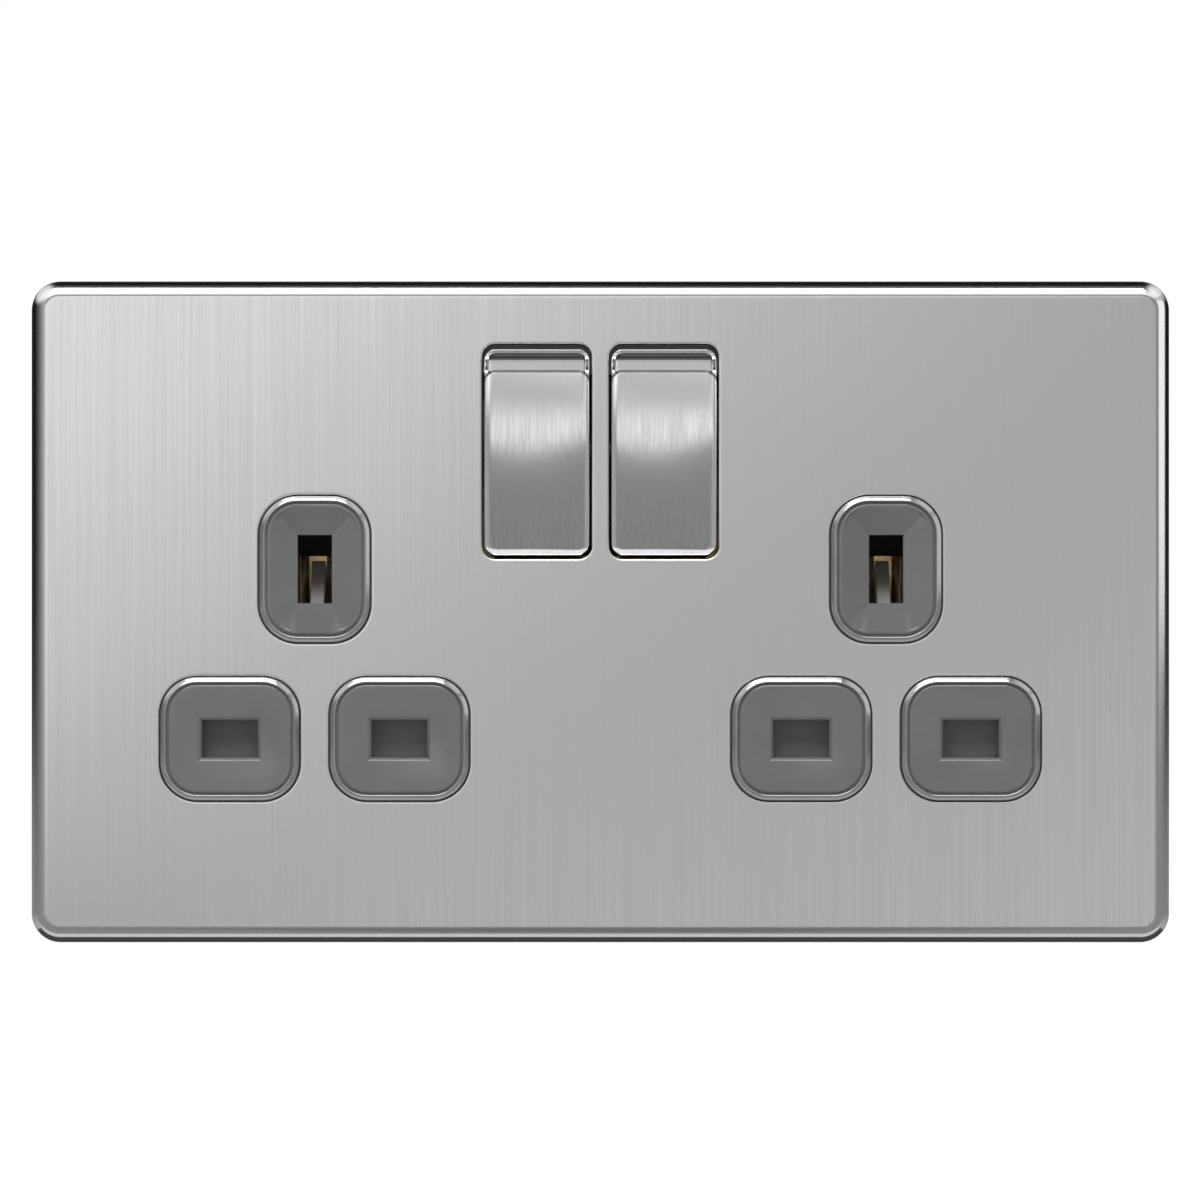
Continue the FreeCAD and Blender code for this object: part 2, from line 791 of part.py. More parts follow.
def rocker_crown(half_width, front_y):
    """Crowned front with bevelled sides, turned about a far axis behind it."""
    bevel = crown_bevel
    section = [(-half_width, well_ear_half), (-half_width, front_y + bevel),
               (-half_width + bevel, front_y), (half_width - bevel, front_y),
               (half_width, front_y + bevel), (half_width, well_ear_half)]
    wire = Part.makePolygon([at(x, y, 0) for x, y in section + section[:1]])
    axis_y = front_y + crown_r
    face = Part.Face(wire)
    sweep = math.degrees(rocker_swing_r / crown_r) + past
    face.rotate(at(0, axis_y, 0), at(1, 0, 0), sweep)
    return face.revolve(at(0, axis_y, 0), at(1, 0, 0), -2 * sweep)


def rocker_form(inset):
    """Outer form of a rocker about its pivot, drawn in by the inset all round."""
    half = rocker_width / 2 - inset
    crown = rocker_crown(half, -crown_reach + inset)
    side = rocker_side(inset, -half, half)
    front = rounded_slab(2 * half, 2 * (rocker_front_half - inset),
                         rocker_corner_r - inset, -rocker_swing_r, 0)
    half_height = rocker_swing_r + past
    behind = prism_x([(-skirt_low, -half_height), (-skirt_top, half_height),
                      (past, half_height), (past, -half_height)], -half - past, half + past)
    return side.common(crown).common(front).cut(behind)


def rocker_cap():
    """Thin metal cap that covers the front and the skirts of a rocker."""
    return rocker_form(0).cut(rocker_form(cap_sheet))


def rocker_body():
    """Plastic body in the cap: hollow shell, cheeks with trunnions, plunger tube."""
    half = rocker_width / 2 - cap_sheet
    shell = rocker_form(cap_sheet)
    hollow = block(body_wall - half, half - body_wall, -hollow_depth, 0, -hollow_low,
                   hollow_high)
    shell = shell.cut(hollow)
    adds = [block(-tube_half, tube_half, -tube_root, tube_end, -tube_half, tube_half)]
    for side in (-1, 1):
        inner = side * (half - body_wall)
        outer = side * half
        x0, x1 = min(inner, outer), max(inner, outer)
        adds.append(prism_x([(-cheek_depth, -cheek_wide), (cheek_back, -cheek_narrow),
                             (cheek_back, cheek_narrow), (-cheek_depth, cheek_wide)], x0, x1))
        end = side * (well_half + trunnion_grip)
        adds.append(rod_x(0, 0, trunnion_r, min(inner, end), max(inner, end)))
    body = join([shell] + adds)
    return body.cut(rod_y(0, 0, plunger_r + sliding_gap, -spring_seat, tube_end + past))


def plunger():
    """Plunger with a round nose, guided in the tube of the rocker."""
    nose_y = plunger_reach - plunger_tip_r
    shank = rod_y(0, 0, plunger_r, plunger_start, nose_y)
    nose = Part.makeCone(plunger_r, plunger_tip_r / 2, plunger_tip_r, at(0, nose_y, 0),
                         at(0, 1, 0))
    return join([shank, nose])


def plunger_spring():
    """Coil that pushes the plunger out of the rocker."""
    spring = coil(plunger_r - spring_play, spring_wire_r, spring_seat + plunger_start,
                  plunger_spring_turns)
    spring.rotate(at(0, 0, 0), at(1, 0, 0), -90)
    spring.translate(at(0, -spring_seat, 0))
    return spring


def placed_on_rocker(shape, side):
    """Put a rocker piece on its pivot, tilted to the ON position."""
    shape.rotate(at(0, 0, 0), at(1, 0, 0), rocker_throw / 2)
    shape.translate(at(rockers[side], rocker_pivot_y, rocker_z))
    return shape


def switch_contact(side):
    """See-saw strip with its cross pin and contact pad, in the ON position."""
    half = brass / 2
    strip = block(-seesaw_half_width, seesaw_half_width, -half, half, -seesaw_down, seesaw_up)
    reach = seesaw_half_width + seesaw_pin_reach
    pin = rod_x(0, 0, seesaw_pin_r, -reach, reach)
    pad = block(-contact_pad_half, contact_pad_half, half, half + contact_pad_height,
                contact_pad_z - contact_pad_half, contact_pad_z + contact_pad_half)
    contact = join([strip, pin, pad])
    contact.rotate(at(0, 0, 0), at(1, 0, 0), -seesaw_ratio * rocker_throw / 2)
    contact.translate(at(rockers[side], seesaw_y, rocker_z))
    return contact


def fixed_contact_face():
    """Depth of the fixed contact, just behind the pad of the closed see-saw."""
    tilt = math.radians(seesaw_ratio * rocker_throw / 2)
    pad_back = brass / 2 + contact_pad_height
    deep = pad_back * math.cos(tilt) + contact_pad_z * math.sin(tilt)
    return seesaw_y + deep + contact_pad_half * math.sin(tilt) + contact_air / 2


def jaw_pair(x):
    """Two sprung leaves on one base, above and below a flat pin."""
    middle = (strip_front + strip_back) / 2
    mouth_y = middle - jaw_reach
    half_path = [(mouth_y, jaw_mouth), (mouth_y + jaw_flare, jaw_throat),
                 (middle - jaw_shoulder, jaw_back), (middle, jaw_back)]
    path = half_path + [(y, -z) for y, z in half_path[::-1]]
    path = [(y, pin_row_z + z) for y, z in path]
    return prism_x(strip_outline(path, brass), x - jaw_width / 2, x + jaw_width / 2)


def live_contact(side):
    """Jaws on the live side of an outlet, with the strip up to its switch."""
    sign = math.copysign(1, outlets[side])
    jaw_x = outlets[side] + pin_pitch / 2
    half = strip_width / 2
    drop_x = sign * strip_drop_x
    fixed_z = rocker_z + contact_pad_z
    pivot_x = rockers[side]
    level = (strip_front, strip_back)
    pieces = [jaw_pair(jaw_x)]
    pieces.append(block(jaw_x - half, jaw_x + half, *level, pin_row_z, strip_run_z + half))
    pieces.append(block(min(drop_x, jaw_x) - half, max(drop_x, jaw_x) + half, *level,
                        strip_run_z - half, strip_run_z + half))
    pieces.append(block(drop_x - half, drop_x + half, *level, strip_run_z, fixed_z + half))
    pieces.append(block(min(pivot_x, drop_x) - half, max(pivot_x, drop_x) + half, *level,
                        fixed_z - half, fixed_z + half))
    pieces.append(block(pivot_x - contact_pad_half, pivot_x + contact_pad_half,
                        fixed_contact_face(), strip_front, fixed_z - contact_pad_half,
                        fixed_z + contact_pad_half))
    return join(pieces)


def live_feed_bar():
    """Bar from the live terminal to the cradles that carry both see-saws."""
    half = strip_width / 2
    level = (strip_front, strip_back)
    arm_place = seesaw_half_width + running_gap + cradle_arm / 2
    reach = rocker_pitch / 2 + arm_place + cradle_arm / 2
    pieces = [block(-reach, reach, *level, rocker_z - half, rocker_z + half),
              block(feed_x - half, feed_x + half, *level, terminal_high, rocker_z)]
    cuts = []
    for x in rockers.values():
        for side in (-1, 1):
            arm = x + side * arm_place
            pieces.append(block(arm - cradle_arm / 2, arm + cradle_arm / 2,
                                seesaw_y - cradle_lip, strip_back, rocker_z - half,
                                rocker_z + half))
        slot = seesaw_pin_r + bore_gap
        end = arm_place + cradle_arm
        cuts.append(rod_x(seesaw_y, rocker_z, slot, x - end, x + end))
        cuts.append(block(x - end, x + end, seesaw_y - past, seesaw_y, rocker_z - slot,
                          rocker_z + slot))
    return join(pieces).cut(cuts)


def neutral_bar():
    """Bar behind the live strips with the two neutral jaws and its terminal tab."""
    half = strip_width / 2
    back = strip_back + bar_drop
    jaw_xs = [x - pin_pitch / 2 for x in outlets.values()]
    pieces = [block(jaw_xs[0] - half, jaw_xs[1] + half, back, back + brass,
                    neutral_z - half, neutral_z + half)]
    for x in jaw_xs:
        pieces.append(jaw_pair(x))
        pieces.append(block(x - half, x + half, strip_front, strip_back, pin_row_z,
                            neutral_z - half + brass))
        pieces.append(block(x - half, x + half, strip_front, back + brass,
                            neutral_z - half, neutral_z - half + brass))
    tab_x = terminal_places()["neutral_terminal"]
    pieces.append(block(tab_x - half, tab_x + half, back, back + brass, terminal_high,
                        neutral_z))
    return join(pieces)


def earth_bar():
    """Earth strip with two long U clips and a foot on each earth terminal."""
    half = strip_width / 2
    back = earth_bar_y + brass
    reach = outlet_pitch / 2 + earth_jaw_back
    pieces = [block(-reach, reach, earth_bar_y, back, earth_bar_low, earth_bar_high)]
    middle = earth_bar_y + brass / 2
    for x in outlets.values():
        half_path = [(earth_jaw_mouth, earth_jaw_front), (earth_jaw_throat, earth_jaw_pinch),
                     (earth_jaw_back, earth_jaw_shoulder), (earth_jaw_back, middle)]
        path = half_path + [(-a, y) for a, y in half_path[::-1]]
        path = [(x + a, y) for a, y in path]
        pieces.append(prism_z(strip_outline(path, brass), earth_jaw_low,
                              earth_bar_high - sliding_gap))
    for name in ("earth_terminal_left", "earth_terminal_right"):
        x = terminal_places()[name]
        pieces.append(block(x - half, x + half, earth_bar_y, back, terminal_high,
                            earth_bar_low + past))
        pieces.append(block(x - half, x + half, strip_front, back, terminal_high,
                            terminal_high + brass))
    return join(pieces)


def shutter(side):
    """Sliding shutter: bar over the flat slots, stem, leg and the ramp for the long pin."""
    x = outlets[side]
    bar = mitred_slab(x - shutter_half, x + shutter_half, shutter_low, shutter_high,
                      shutter_corner, shutter_front, shutter_back)
    stem = block(x - stem_half, x + stem_half, shutter_front, shutter_back,
                 shutter_high - merge, leg_high)
    leg = block(x - leg_half, x + leg_half, shutter_front, ramp_back, leg_low, leg_high)
    ramp = prism_x([(ramp_front, leg_high - merge), (ramp_front, leg_high),
                    (ramp_back, ramp_top), (ramp_back, leg_high - merge)],
                   x - ramp_half, x + ramp_half)
    return join([bar, stem, leg, ramp])


def shutter_spring(side):
    """Coil between the shelf of the rear moulding and the leg of the shutter."""
    spring = coil(shutter_spring_r, spring_wire_r, leg_low - shelf_z, shutter_spring_turns)
    spring.translate(at(outlets[side], shutter_spring_y, shelf_z))
    return spring


def terminal(x):
    """Brass block with a blind cable bore from below and a clamp screw from behind."""
    body = block(x - terminal_width / 2, x + terminal_width / 2, terminal_front,
                 terminal_back, terminal_low, terminal_high)
    edges = []
    for edge in body.Edges:
        if edge.BoundBox.ZLength > terminal_depth:
            edges.append(edge)
    body = body.makeChamfer(terminal_bevel, edges)
    bore = rod_z(x, entry_y, cable_bore_r, terminal_low - past, terminal_high - bore_end_wall)
    thread = rod_y(x, terminal_z, clamp_screw_r + bore_gap, entry_y, terminal_back + past)
    return body.cut([bore, thread])


def terminal_screws():
    """Four clamp screws, backed out so that the cable bores are open."""
    screws = []
    head_y = terminal_back + clamp_head_air
    end_y = head_y + clamp_head
    for x in terminal_places().values():
        shank = rod_y(x, terminal_z, clamp_screw_r, entry_y + cable_bore_r + seat_gap, head_y)
        head = rod_y(x, terminal_z, clamp_head_r, head_y, end_y)
        slot = block(x - clamp_head_r - past, x + clamp_head_r + past, end_y - clamp_slot,
                     end_y + past, terminal_z - clamp_slot_half, terminal_z + clamp_slot_half)
        screws.append(join([shank, head]).cut(slot))
    return Part.makeCompound(screws)


def housing_screws():
    """Four long screws that clamp the mouldings round the frame, from behind."""
    screws = []
    head_y = rear_depth - screw_head - screw_sink
    long = recess_long
    wide = recess_wide
    for x, z in screw_places():
        shank = rod_y(x, z, screw_r, parting + screw_web + screw_tip_air, head_y)
        head = rod_y(x, z, screw_head_r, head_y, head_y + screw_head)
        recess_y = head_y + screw_head - recess_depth
        cross = [block(x - long, x + long, recess_y, rear_depth, z - wide, z + wide),
                 block(x - wide, x + wide, recess_y, rear_depth, z - long, z + long)]
        screws.append(join([shank, head]).cut(cross))
    return Part.makeCompound(screws)


def earth_spring():
    """Leaf from the earth bar through the moulding, bowed up to touch the plate."""
    crest = plate_under + seat_gap / 2 + leaf / 2
    foot = earth_bar_y - leaf / 2
    path = [(foot, leaf_foot_z), (foot, leaf_stem_z), (crest + leaf_bow + leaf_kick, leaf_stem_z),
            (crest + leaf_bow, leaf_knee_z), (crest, leaf_crest_z),
            (crest + leaf_bow, leaf_tip_z)]
    return prism_x(strip_outline(path, leaf), -strip_width / 2, strip_width / 2)


def build_all():
    """Every piece by its name."""
    pieces = {
        "front_plate": front_plate(),
        "clip_frame": clip_frame(),
        "front_moulding": front_moulding(),
        "rear_moulding": rear_moulding(),
        "live_feed_bar": live_feed_bar(),
        "neutral_bar": neutral_bar(),
        "earth_bar": earth_bar(),
        "earth_spring": earth_spring(),
        "terminal_screws": terminal_screws(),
        "housing_screws": housing_screws(),
    }
    for name, x in terminal_places().items():
        pieces[name] = terminal(x)
    for side in ("left", "right"):
        pieces["rocker_cap_" + side] = placed_on_rocker(rocker_cap(), side)
        pieces["rocker_body_" + side] = placed_on_rocker(rocker_body(), side)
        pieces["plunger_" + side] = placed_on_rocker(plunger(), side)
        pieces["plunger_spring_" + side] = placed_on_rocker(plunger_spring(), side)
        pieces["switch_contact_" + side] = switch_contact(side)
        pieces["live_contact_" + side] = live_contact(side)
        pieces["shutter_" + side] = shutter(side)
        pieces["shutter_spring_" + side] = shutter_spring(side)
    return pieces


for name, shape in build_all().items():
    if not shape.isValid():
        print("not valid:", name)
    print(name, len(shape.Solids), round(shape.Volume, 1))
    shape.exportStep("parts/" + name + ".step")
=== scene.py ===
import json
import math

import bmesh
import bpy
import numpy as np
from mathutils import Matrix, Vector
from mathutils.geometry import tessellate_polygon


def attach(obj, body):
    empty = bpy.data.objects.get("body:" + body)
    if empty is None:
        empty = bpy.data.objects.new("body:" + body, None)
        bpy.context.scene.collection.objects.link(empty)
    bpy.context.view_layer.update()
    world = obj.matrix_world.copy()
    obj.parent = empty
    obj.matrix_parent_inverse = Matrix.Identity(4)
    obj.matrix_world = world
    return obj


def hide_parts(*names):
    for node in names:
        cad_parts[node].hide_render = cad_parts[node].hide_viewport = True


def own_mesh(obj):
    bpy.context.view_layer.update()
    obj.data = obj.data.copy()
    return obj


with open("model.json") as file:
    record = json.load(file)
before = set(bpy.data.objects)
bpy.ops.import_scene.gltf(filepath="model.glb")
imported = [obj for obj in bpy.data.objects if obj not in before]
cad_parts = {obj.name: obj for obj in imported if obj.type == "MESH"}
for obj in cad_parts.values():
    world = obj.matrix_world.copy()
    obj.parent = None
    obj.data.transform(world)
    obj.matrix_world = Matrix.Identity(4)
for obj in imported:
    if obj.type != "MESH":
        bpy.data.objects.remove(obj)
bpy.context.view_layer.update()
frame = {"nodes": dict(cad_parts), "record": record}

MM = 0.001
record = frame["record"]
body_of = {node: body for body, nodes in record["behaviour"]["bodies"].items() for node in nodes}
slot_of = {part["node"]: part["material_slot"] for part in record["subparts"]}

# --- Sizes in millimetres, about the centre of the plate on the wall plane ---
plate_w, plate_h, plate_r = 149.2, 86.7, 3.8
plate_front, plate_under, plate_back = -5.0, -4.2, -0.2
sheet, bend, roll = 0.8, 2.1, 0.14
notch_half, notch_edge = 4.0, -1.4
outlet_xs, rocker_xs = (-37.4, 37.4), (-8.31, 8.31)
rocker_mid_z, pin_z, earth_z = 21.0, -16.6, 5.6
pin_side = 11.1
boss_gap = 0.2
flat_boss = (18.1, 16.1, 4.85, 7.3, 4.85, False)
long_boss = (14.4, 19.1, 5.0, 4.5, 8.95, True)
rocker_opening = (14.4, 28.2, 1.75)
rim_width, face_y, dish_fall = 1.35, -5.55, 0.65
boss_root, flange_cut = -3.9, -4.002
pivot_y, tilt = 1.5, math.radians(5)
camera_place = (-0.05, -877.6, 1.56)


# --- Camera: straight on, at the distance that gives the photograph's scale ---
lens = bpy.data.cameras.new("camera")
lens.lens = 200
lens.sensor_width = 36
lens.clip_end = 20
camera = bpy.data.objects.new("camera", lens)
camera.location = [v * MM for v in camera_place]
camera.rotation_euler = (math.radians(90), 0, 0)
bpy.context.collection.objects.link(camera)
bpy.context.scene.camera = camera
bpy.context.scene.view_settings.view_transform = "Standard"


# --- Finishes ---
def new_material(name, colour, metallic, roughness):
    """A shader with its plain values set on its own sockets."""
    material = bpy.data.materials.new(name)
    material.use_nodes = True
    shader = material.node_tree.nodes["Principled BSDF"]
    shader.inputs["Base Color"].default_value = (*colour, 1)
    shader.inputs["Metallic"].default_value = metallic
    shader.inputs["Roughness"].default_value = roughness
    return material, material.node_tree, shader


def scaled_place(tree, scale, shift=(0, 0, 0)):
    """Object coordinates times a scale each way: the finer the scale, the finer the grain."""
    place = tree.nodes.new("ShaderNodeTexCoord")
    mapping = tree.nodes.new("ShaderNodeMapping")
    mapping.inputs["Scale"].default_value = scale
    mapping.inputs["Location"].default_value = shift
    tree.links.new(place.outputs["Object"], mapping.inputs["Vector"])
    return mapping.outputs["Vector"]


def noise(tree, vector, detail, rough):
    node = tree.nodes.new("ShaderNodeTexNoise")
    node.inputs["Scale"].default_value = 1.0
    node.inputs["Detail"].default_value = detail
    node.inputs["Roughness"].default_value = rough
    tree.links.new(vector, node.inputs["Vector"])
    return node.outputs["Fac"]


def ramp(tree, value, low, high, to_low, to_high, kind="LINEAR"):
    """Straight or soft step from one range to another, held at its ends."""
    node = tree.nodes.new("ShaderNodeMapRange")
    node.interpolation_type = kind
    node.inputs["From Min"].default_value = low
    node.inputs["From Max"].default_value = high
    node.inputs["To Min"].default_value = to_low
    node.inputs["To Max"].default_value = to_high
    tree.links.new(value, node.inputs["Value"])
    return node.outputs["Result"]


def calc(tree, operation, first, second):
    """Sum, product or the like of two values, each a number or an output."""
    node = tree.nodes.new("ShaderNodeMath")
    node.operation = operation
    for socket, value in zip(node.inputs, (first, second)):
        if isinstance(value, (int, float)):
            socket.default_value = value
        else:
            tree.links.new(value, socket)
    return node.outputs[0]


def tone(tree, value, dark, light):
    """Colour between two tones."""
    node = tree.nodes.new("ShaderNodeMix")
    node.data_type = "RGBA"
    node.inputs["A"].default_value = (*dark, 1)
    node.inputs["B"].default_value = (*light, 1)
    tree.links.new(value, node.inputs["Factor"])
    return node.outputs["Result"]


def relief(tree, shader, height, strength, distance):
    node = tree.nodes.new("ShaderNodeBump")
    node.inputs["Strength"].default_value = strength
    node.inputs["Distance"].default_value = distance
    tree.links.new(height, node.inputs["Height"])
    tree.links.new(node.outputs["Normal"], shader.inputs["Normal"])


def brushed_steel(name, dark, light, rough_low, rough_high, fine, length, strength,
                  shaded=False):
    """Upright brush lines: noise drawn out along Z at three widths, in tone, gloss, relief.

    A shaded finish has painted shade: its colour is darkened towards near black where the mesh's
    values under the name shade are low.
    """
    material, tree, shader = new_material(name, light, 1.0, rough_low)
    hair = noise(tree, scaled_place(tree, (fine, fine, length)), 2.0, 0.6)
    line = noise(tree, scaled_place(tree, (fine / 3, fine / 3, length / 2), (0.3, 0, 0.1)),
                 2.0, 0.5)
    band = noise(tree, scaled_place(tree, (fine / 16, fine / 16, length / 3)), 2.0, 0.5)
    mixed = calc(tree, "ADD", calc(tree, "MULTIPLY", hair, 0.55),
                 calc(tree, "MULTIPLY", line, 0.33))
    mixed = calc(tree, "ADD", mixed, calc(tree, "MULTIPLY", band, 0.12))
    colour = tone(tree, ramp(tree, mixed, 0.32, 0.68, 0, 1), dark, light)
    # Painted shade: the mesh's shade values darken the colour towards near black.
    if shaded:
        shade = tree.nodes.new("ShaderNodeAttribute")
        shade.attribute_name = "shade"
        shaded = tree.nodes.new("ShaderNodeMix")
        shaded.data_type = "RGBA"
        shaded.inputs["A"].default_value = (0.035, 0.035, 0.035, 1)
        tree.links.new(colour, shaded.inputs["B"])
        tree.links.new(shade.outputs["Fac"], shaded.inputs["Factor"])
        colour = shaded.outputs["Result"]
    tree.links.new(colour, shader.inputs["Base Color"])
    tree.links.new(ramp(tree, mixed, 0.3, 0.7, rough_high, rough_low), shader.inputs["Roughness"])
    relief(tree, shader, mixed, strength, 0.00002)
    return material


def moulded_plastic(name, dark, light, rough_low, rough_high, grain, strength):
    """Moulded plastic: faint mottle in tone and gloss and a fine skin grain."""
    material, tree, shader = new_material(name, light, 0.0, rough_low)
    mottle = noise(tree, scaled_place(tree, (160, 160, 160)), 3.0, 0.55)
    skin = noise(tree, scaled_place(tree, (grain, grain, grain)), 2.0, 0.5)
    tree.links.new(tone(tree, ramp(tree, mottle, 0.3, 0.7, 0, 1), dark, light),
                   shader.inputs["Base Color"])
    tree.links.new(ramp(tree, skin, 0.3, 0.7, rough_low, rough_high), shader.inputs["Roughness"])
    relief(tree, shader, skin, strength, 0.00002)
    return material


def worked_metal(name, dark, light, rough_low, rough_high, grain):
    """Rolled or turned metal: cloudy tarnish in tone and gloss, faint rolling lines."""
    material, tree, shader = new_material(name, light, 1.0, rough_low)
    cloud = noise(tree, scaled_place(tree, (260, 260, 260)), 4.0, 0.6)
    lines = noise(tree, scaled_place(tree, (grain, grain, grain / 9)), 2.0, 0.5)
    tree.links.new(tone(tree, ramp(tree, cloud, 0.32, 0.68, 0, 1), dark, light),
                   shader.inputs["Base Color"])
    tree.links.new(ramp(tree, cloud, 0.3, 0.7, rough_high, rough_low), shader.inputs["Roughness"])
    relief(tree, shader, lines, 0.12, 0.00001)
    return material


def gloss_rim():
    """High gloss for the moulded rims: a hard clear skin over grey, with a faint mottled relief.
    """
    material, tree, shader = new_material("gloss_rim", (0.15, 0.152, 0.151), 0.0, 0.1)
    mottle = noise(tree, scaled_place(tree, (300, 300, 300)), 3.0, 0.55)
    tree.links.new(tone(tree, ramp(tree, mottle, 0.3, 0.7, 0, 1), (0.13, 0.132, 0.131),
                        (0.165, 0.167, 0.166)), shader.inputs["Base Color"])
    tree.links.new(ramp(tree, mottle, 0.3, 0.7, 0.08, 0.13), shader.inputs["Roughness"])
    shader.inputs["IOR"].default_value = 2.1
    shader.inputs["Coat Weight"].default_value = 1.0
    shader.inputs["Coat IOR"].default_value = 2.0
    shader.inputs["Coat Roughness"].default_value = 0.07
    relief(tree, shader, mottle, 0.03, 0.00002)
    return material


def shutter_finish():
    """Grey plastic, paler above its middle: painted light on the ramp that the long pin meets."""
    material = moulded_plastic("shutter_plastic", (0.15, 0.158, 0.155), (0.18, 0.188, 0.185),
                               0.32, 0.45, 2400, 0.1)
    tree = material.node_tree
    shader = tree.nodes["Principled BSDF"]
    grey = shader.inputs["Base Color"].links[0].from_socket
    place_in = tree.nodes.new("ShaderNodeTexCoord")
    split = tree.nodes.new("ShaderNodeSeparateXYZ")
    tree.links.new(place_in.outputs["Object"], split.inputs["Vector"])
    # Painted light: the shutter's colour turns pale above its middle.
    painted_light = tree.nodes.new("ShaderNodeMix")
    painted_light.data_type = "RGBA"
    painted_light.inputs["B"].default_value = (0.75, 0.77, 0.76, 1)
    tree.links.new(grey, painted_light.inputs["A"])
    tree.links.new(ramp(tree, split.outputs["Z"], -0.006, 0.001, 0, 1), painted_light.inputs["Factor"])
    tree.links.new(painted_light.outputs["Result"], shader.inputs["Base Color"])
    return material


finish = {
    "plate_steel": brushed_steel("plate_steel", (0.55, 0.55, 0.547), (0.62, 0.62, 0.616),
                                 0.15, 0.19, 5000, 30, 0.10),
    # Cap steel carries the caps' painted shade.
    "cap_steel": brushed_steel("cap_steel", (0.76, 0.76, 0.755), (0.92, 0.92, 0.913),
                               0.10, 0.16, 3200, 80, 0.27, shaded=True),
    "grey_plastic": moulded_plastic("grey_plastic", (0.135, 0.137, 0.136), (0.152, 0.154, 0.153),
                                    0.13, 0.19, 2600, 0.05),
    "frame_plastic": moulded_plastic("frame_plastic", (0.075, 0.077, 0.08), (0.10, 0.102, 0.105),
                                     0.45, 0.6, 2200, 0.2),
    "rear_plastic": moulded_plastic("rear_plastic", (0.14, 0.142, 0.145), (0.18, 0.182, 0.185),
                                    0.42, 0.58, 2200, 0.2),
    "rocker_plastic": moulded_plastic("rocker_plastic", (0.07, 0.07, 0.07), (0.1, 0.1, 0.1),
                                      0.35, 0.5, 2400, 0.15),
    "pale_plastic": moulded_plastic("pale_plastic", (0.66, 0.66, 0.63), (0.76, 0.76, 0.73),
                                    0.3, 0.42, 2400, 0.1),
    "shutter_plastic": shutter_finish(),
    "brass": worked_metal("brass", (0.50, 0.36, 0.20), (0.74, 0.55, 0.33), 0.14, 0.26, 5000),
    "spring_steel": worked_metal("spring_steel", (0.42, 0.42, 0.43), (0.62, 0.62, 0.63),
                                 0.2, 0.34, 6000),
    "screw_steel": worked_metal("screw_steel", (0.55, 0.55, 0.53), (0.74, 0.74, 0.71),
                                0.18, 0.3, 7000),
}


# --- Pieces that follow a CAD node ---
def place(obj, node, *more):
    """Give a piece its body, its finish and the nodes that it stands for."""
    if obj.name not in bpy.context.collection.objects:
        bpy.context.collection.objects.link(obj)
    obj.data.materials.clear()
    obj.data.materials.append(finish[slot_of[node]])
    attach(obj, body_of[node])
    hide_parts(node, *more)
    return obj


def smooth_copy(node, angle=33.0, bevel=0.0):
    """Merged copy of a node's mesh, flats joined, edges under the angle shaded round."""
    mesh = frame["nodes"][node].data.copy()
    if "custom_normal" in mesh.attributes:
        mesh.attributes.remove(mesh.attributes["custom_normal"])
    bm = bmesh.new()
    bm.from_mesh(mesh)
    bmesh.ops.remove_doubles(bm, verts=bm.verts, dist=2e-6)
    bmesh.ops.dissolve_limit(bm, angle_limit=math.radians(0.6), verts=bm.verts, edges=bm.edges)
    bm.to_mesh(mesh)
    bm.free()
    mesh.polygons.foreach_set("use_smooth", np.ones(len(mesh.polygons), dtype=bool))
    mesh.set_sharp_from_angle(angle=math.radians(angle))
    obj = bpy.data.objects.new(node + ".dressed", mesh)
    if bevel:
        edge = obj.modifiers.new("edge", "BEVEL")
        edge.width = bevel * MM
        edge.segments = 2
        edge.limit_method = "ANGLE"
        edge.angle_limit = math.radians(angle)
    weighted = obj.modifiers.new("weighted", "WEIGHTED_NORMAL")
    weighted.keep_sharp = True
    return place(obj, node)


# --- Outlines and skins ---
def rounded_outline(width, height, radius, middle=(0.0, 0.0), steps=12, hip=0.5, low_cuts=()):
    """Points (x, z) round a rounded rectangle, anticlockwise seen from the front.

    Each corner is a quarter circle with points at shares of its turn, packed so that
    one share falls on the hip; a radius of nought gathers the arc's points in the corner.
    The cuts are more places along the low side.
    """
    share = np.concatenate([np.linspace(0, hip, steps), np.linspace(hip, 1, steps)[1:]])
    points = []
    for turn, (sx, sz) in enumerate([(1, 1), (-1, 1), (-1, -1), (1, -1)]):
        part = share if turn % 2 == 0 else 1 - share[::-1]
        angle = np.radians(90) * (turn + part)
        points.append(np.stack([sx * (width / 2 - radius) + radius * np.cos(angle),
                                sz * (height / 2 - radius) + radius * np.sin(angle)], 1))
        if turn == 2 and len(low_cuts):
            points.append(np.stack([np.array(low_cuts), np.full(len(low_cuts), -height / 2)], 1))
    return np.concatenate(points) + np.array(middle)


def level_ring(outline, depth):
    """Ring of points (x, y, z) from an outline and a depth, one for all or one for each."""
    return np.stack([outline[:, 0], np.broadcast_to(depth, len(outline)), outline[:, 1]], 1)


def ring_faces(rings, around, closed=False, start=0):
    """Four-sided faces between each ring and the next, all the way round."""
    last = rings if closed else rings - 1
    i, j = np.meshgrid(np.arange(last), np.arange(around), indexing="ij")
    near, far = i * around, ((i + 1) % rings) * around
    j_next = (j + 1) % around
    return (np.stack([near + j, near + j_next, far + j_next, far + j], -1).reshape(-1, 4)
            + start)


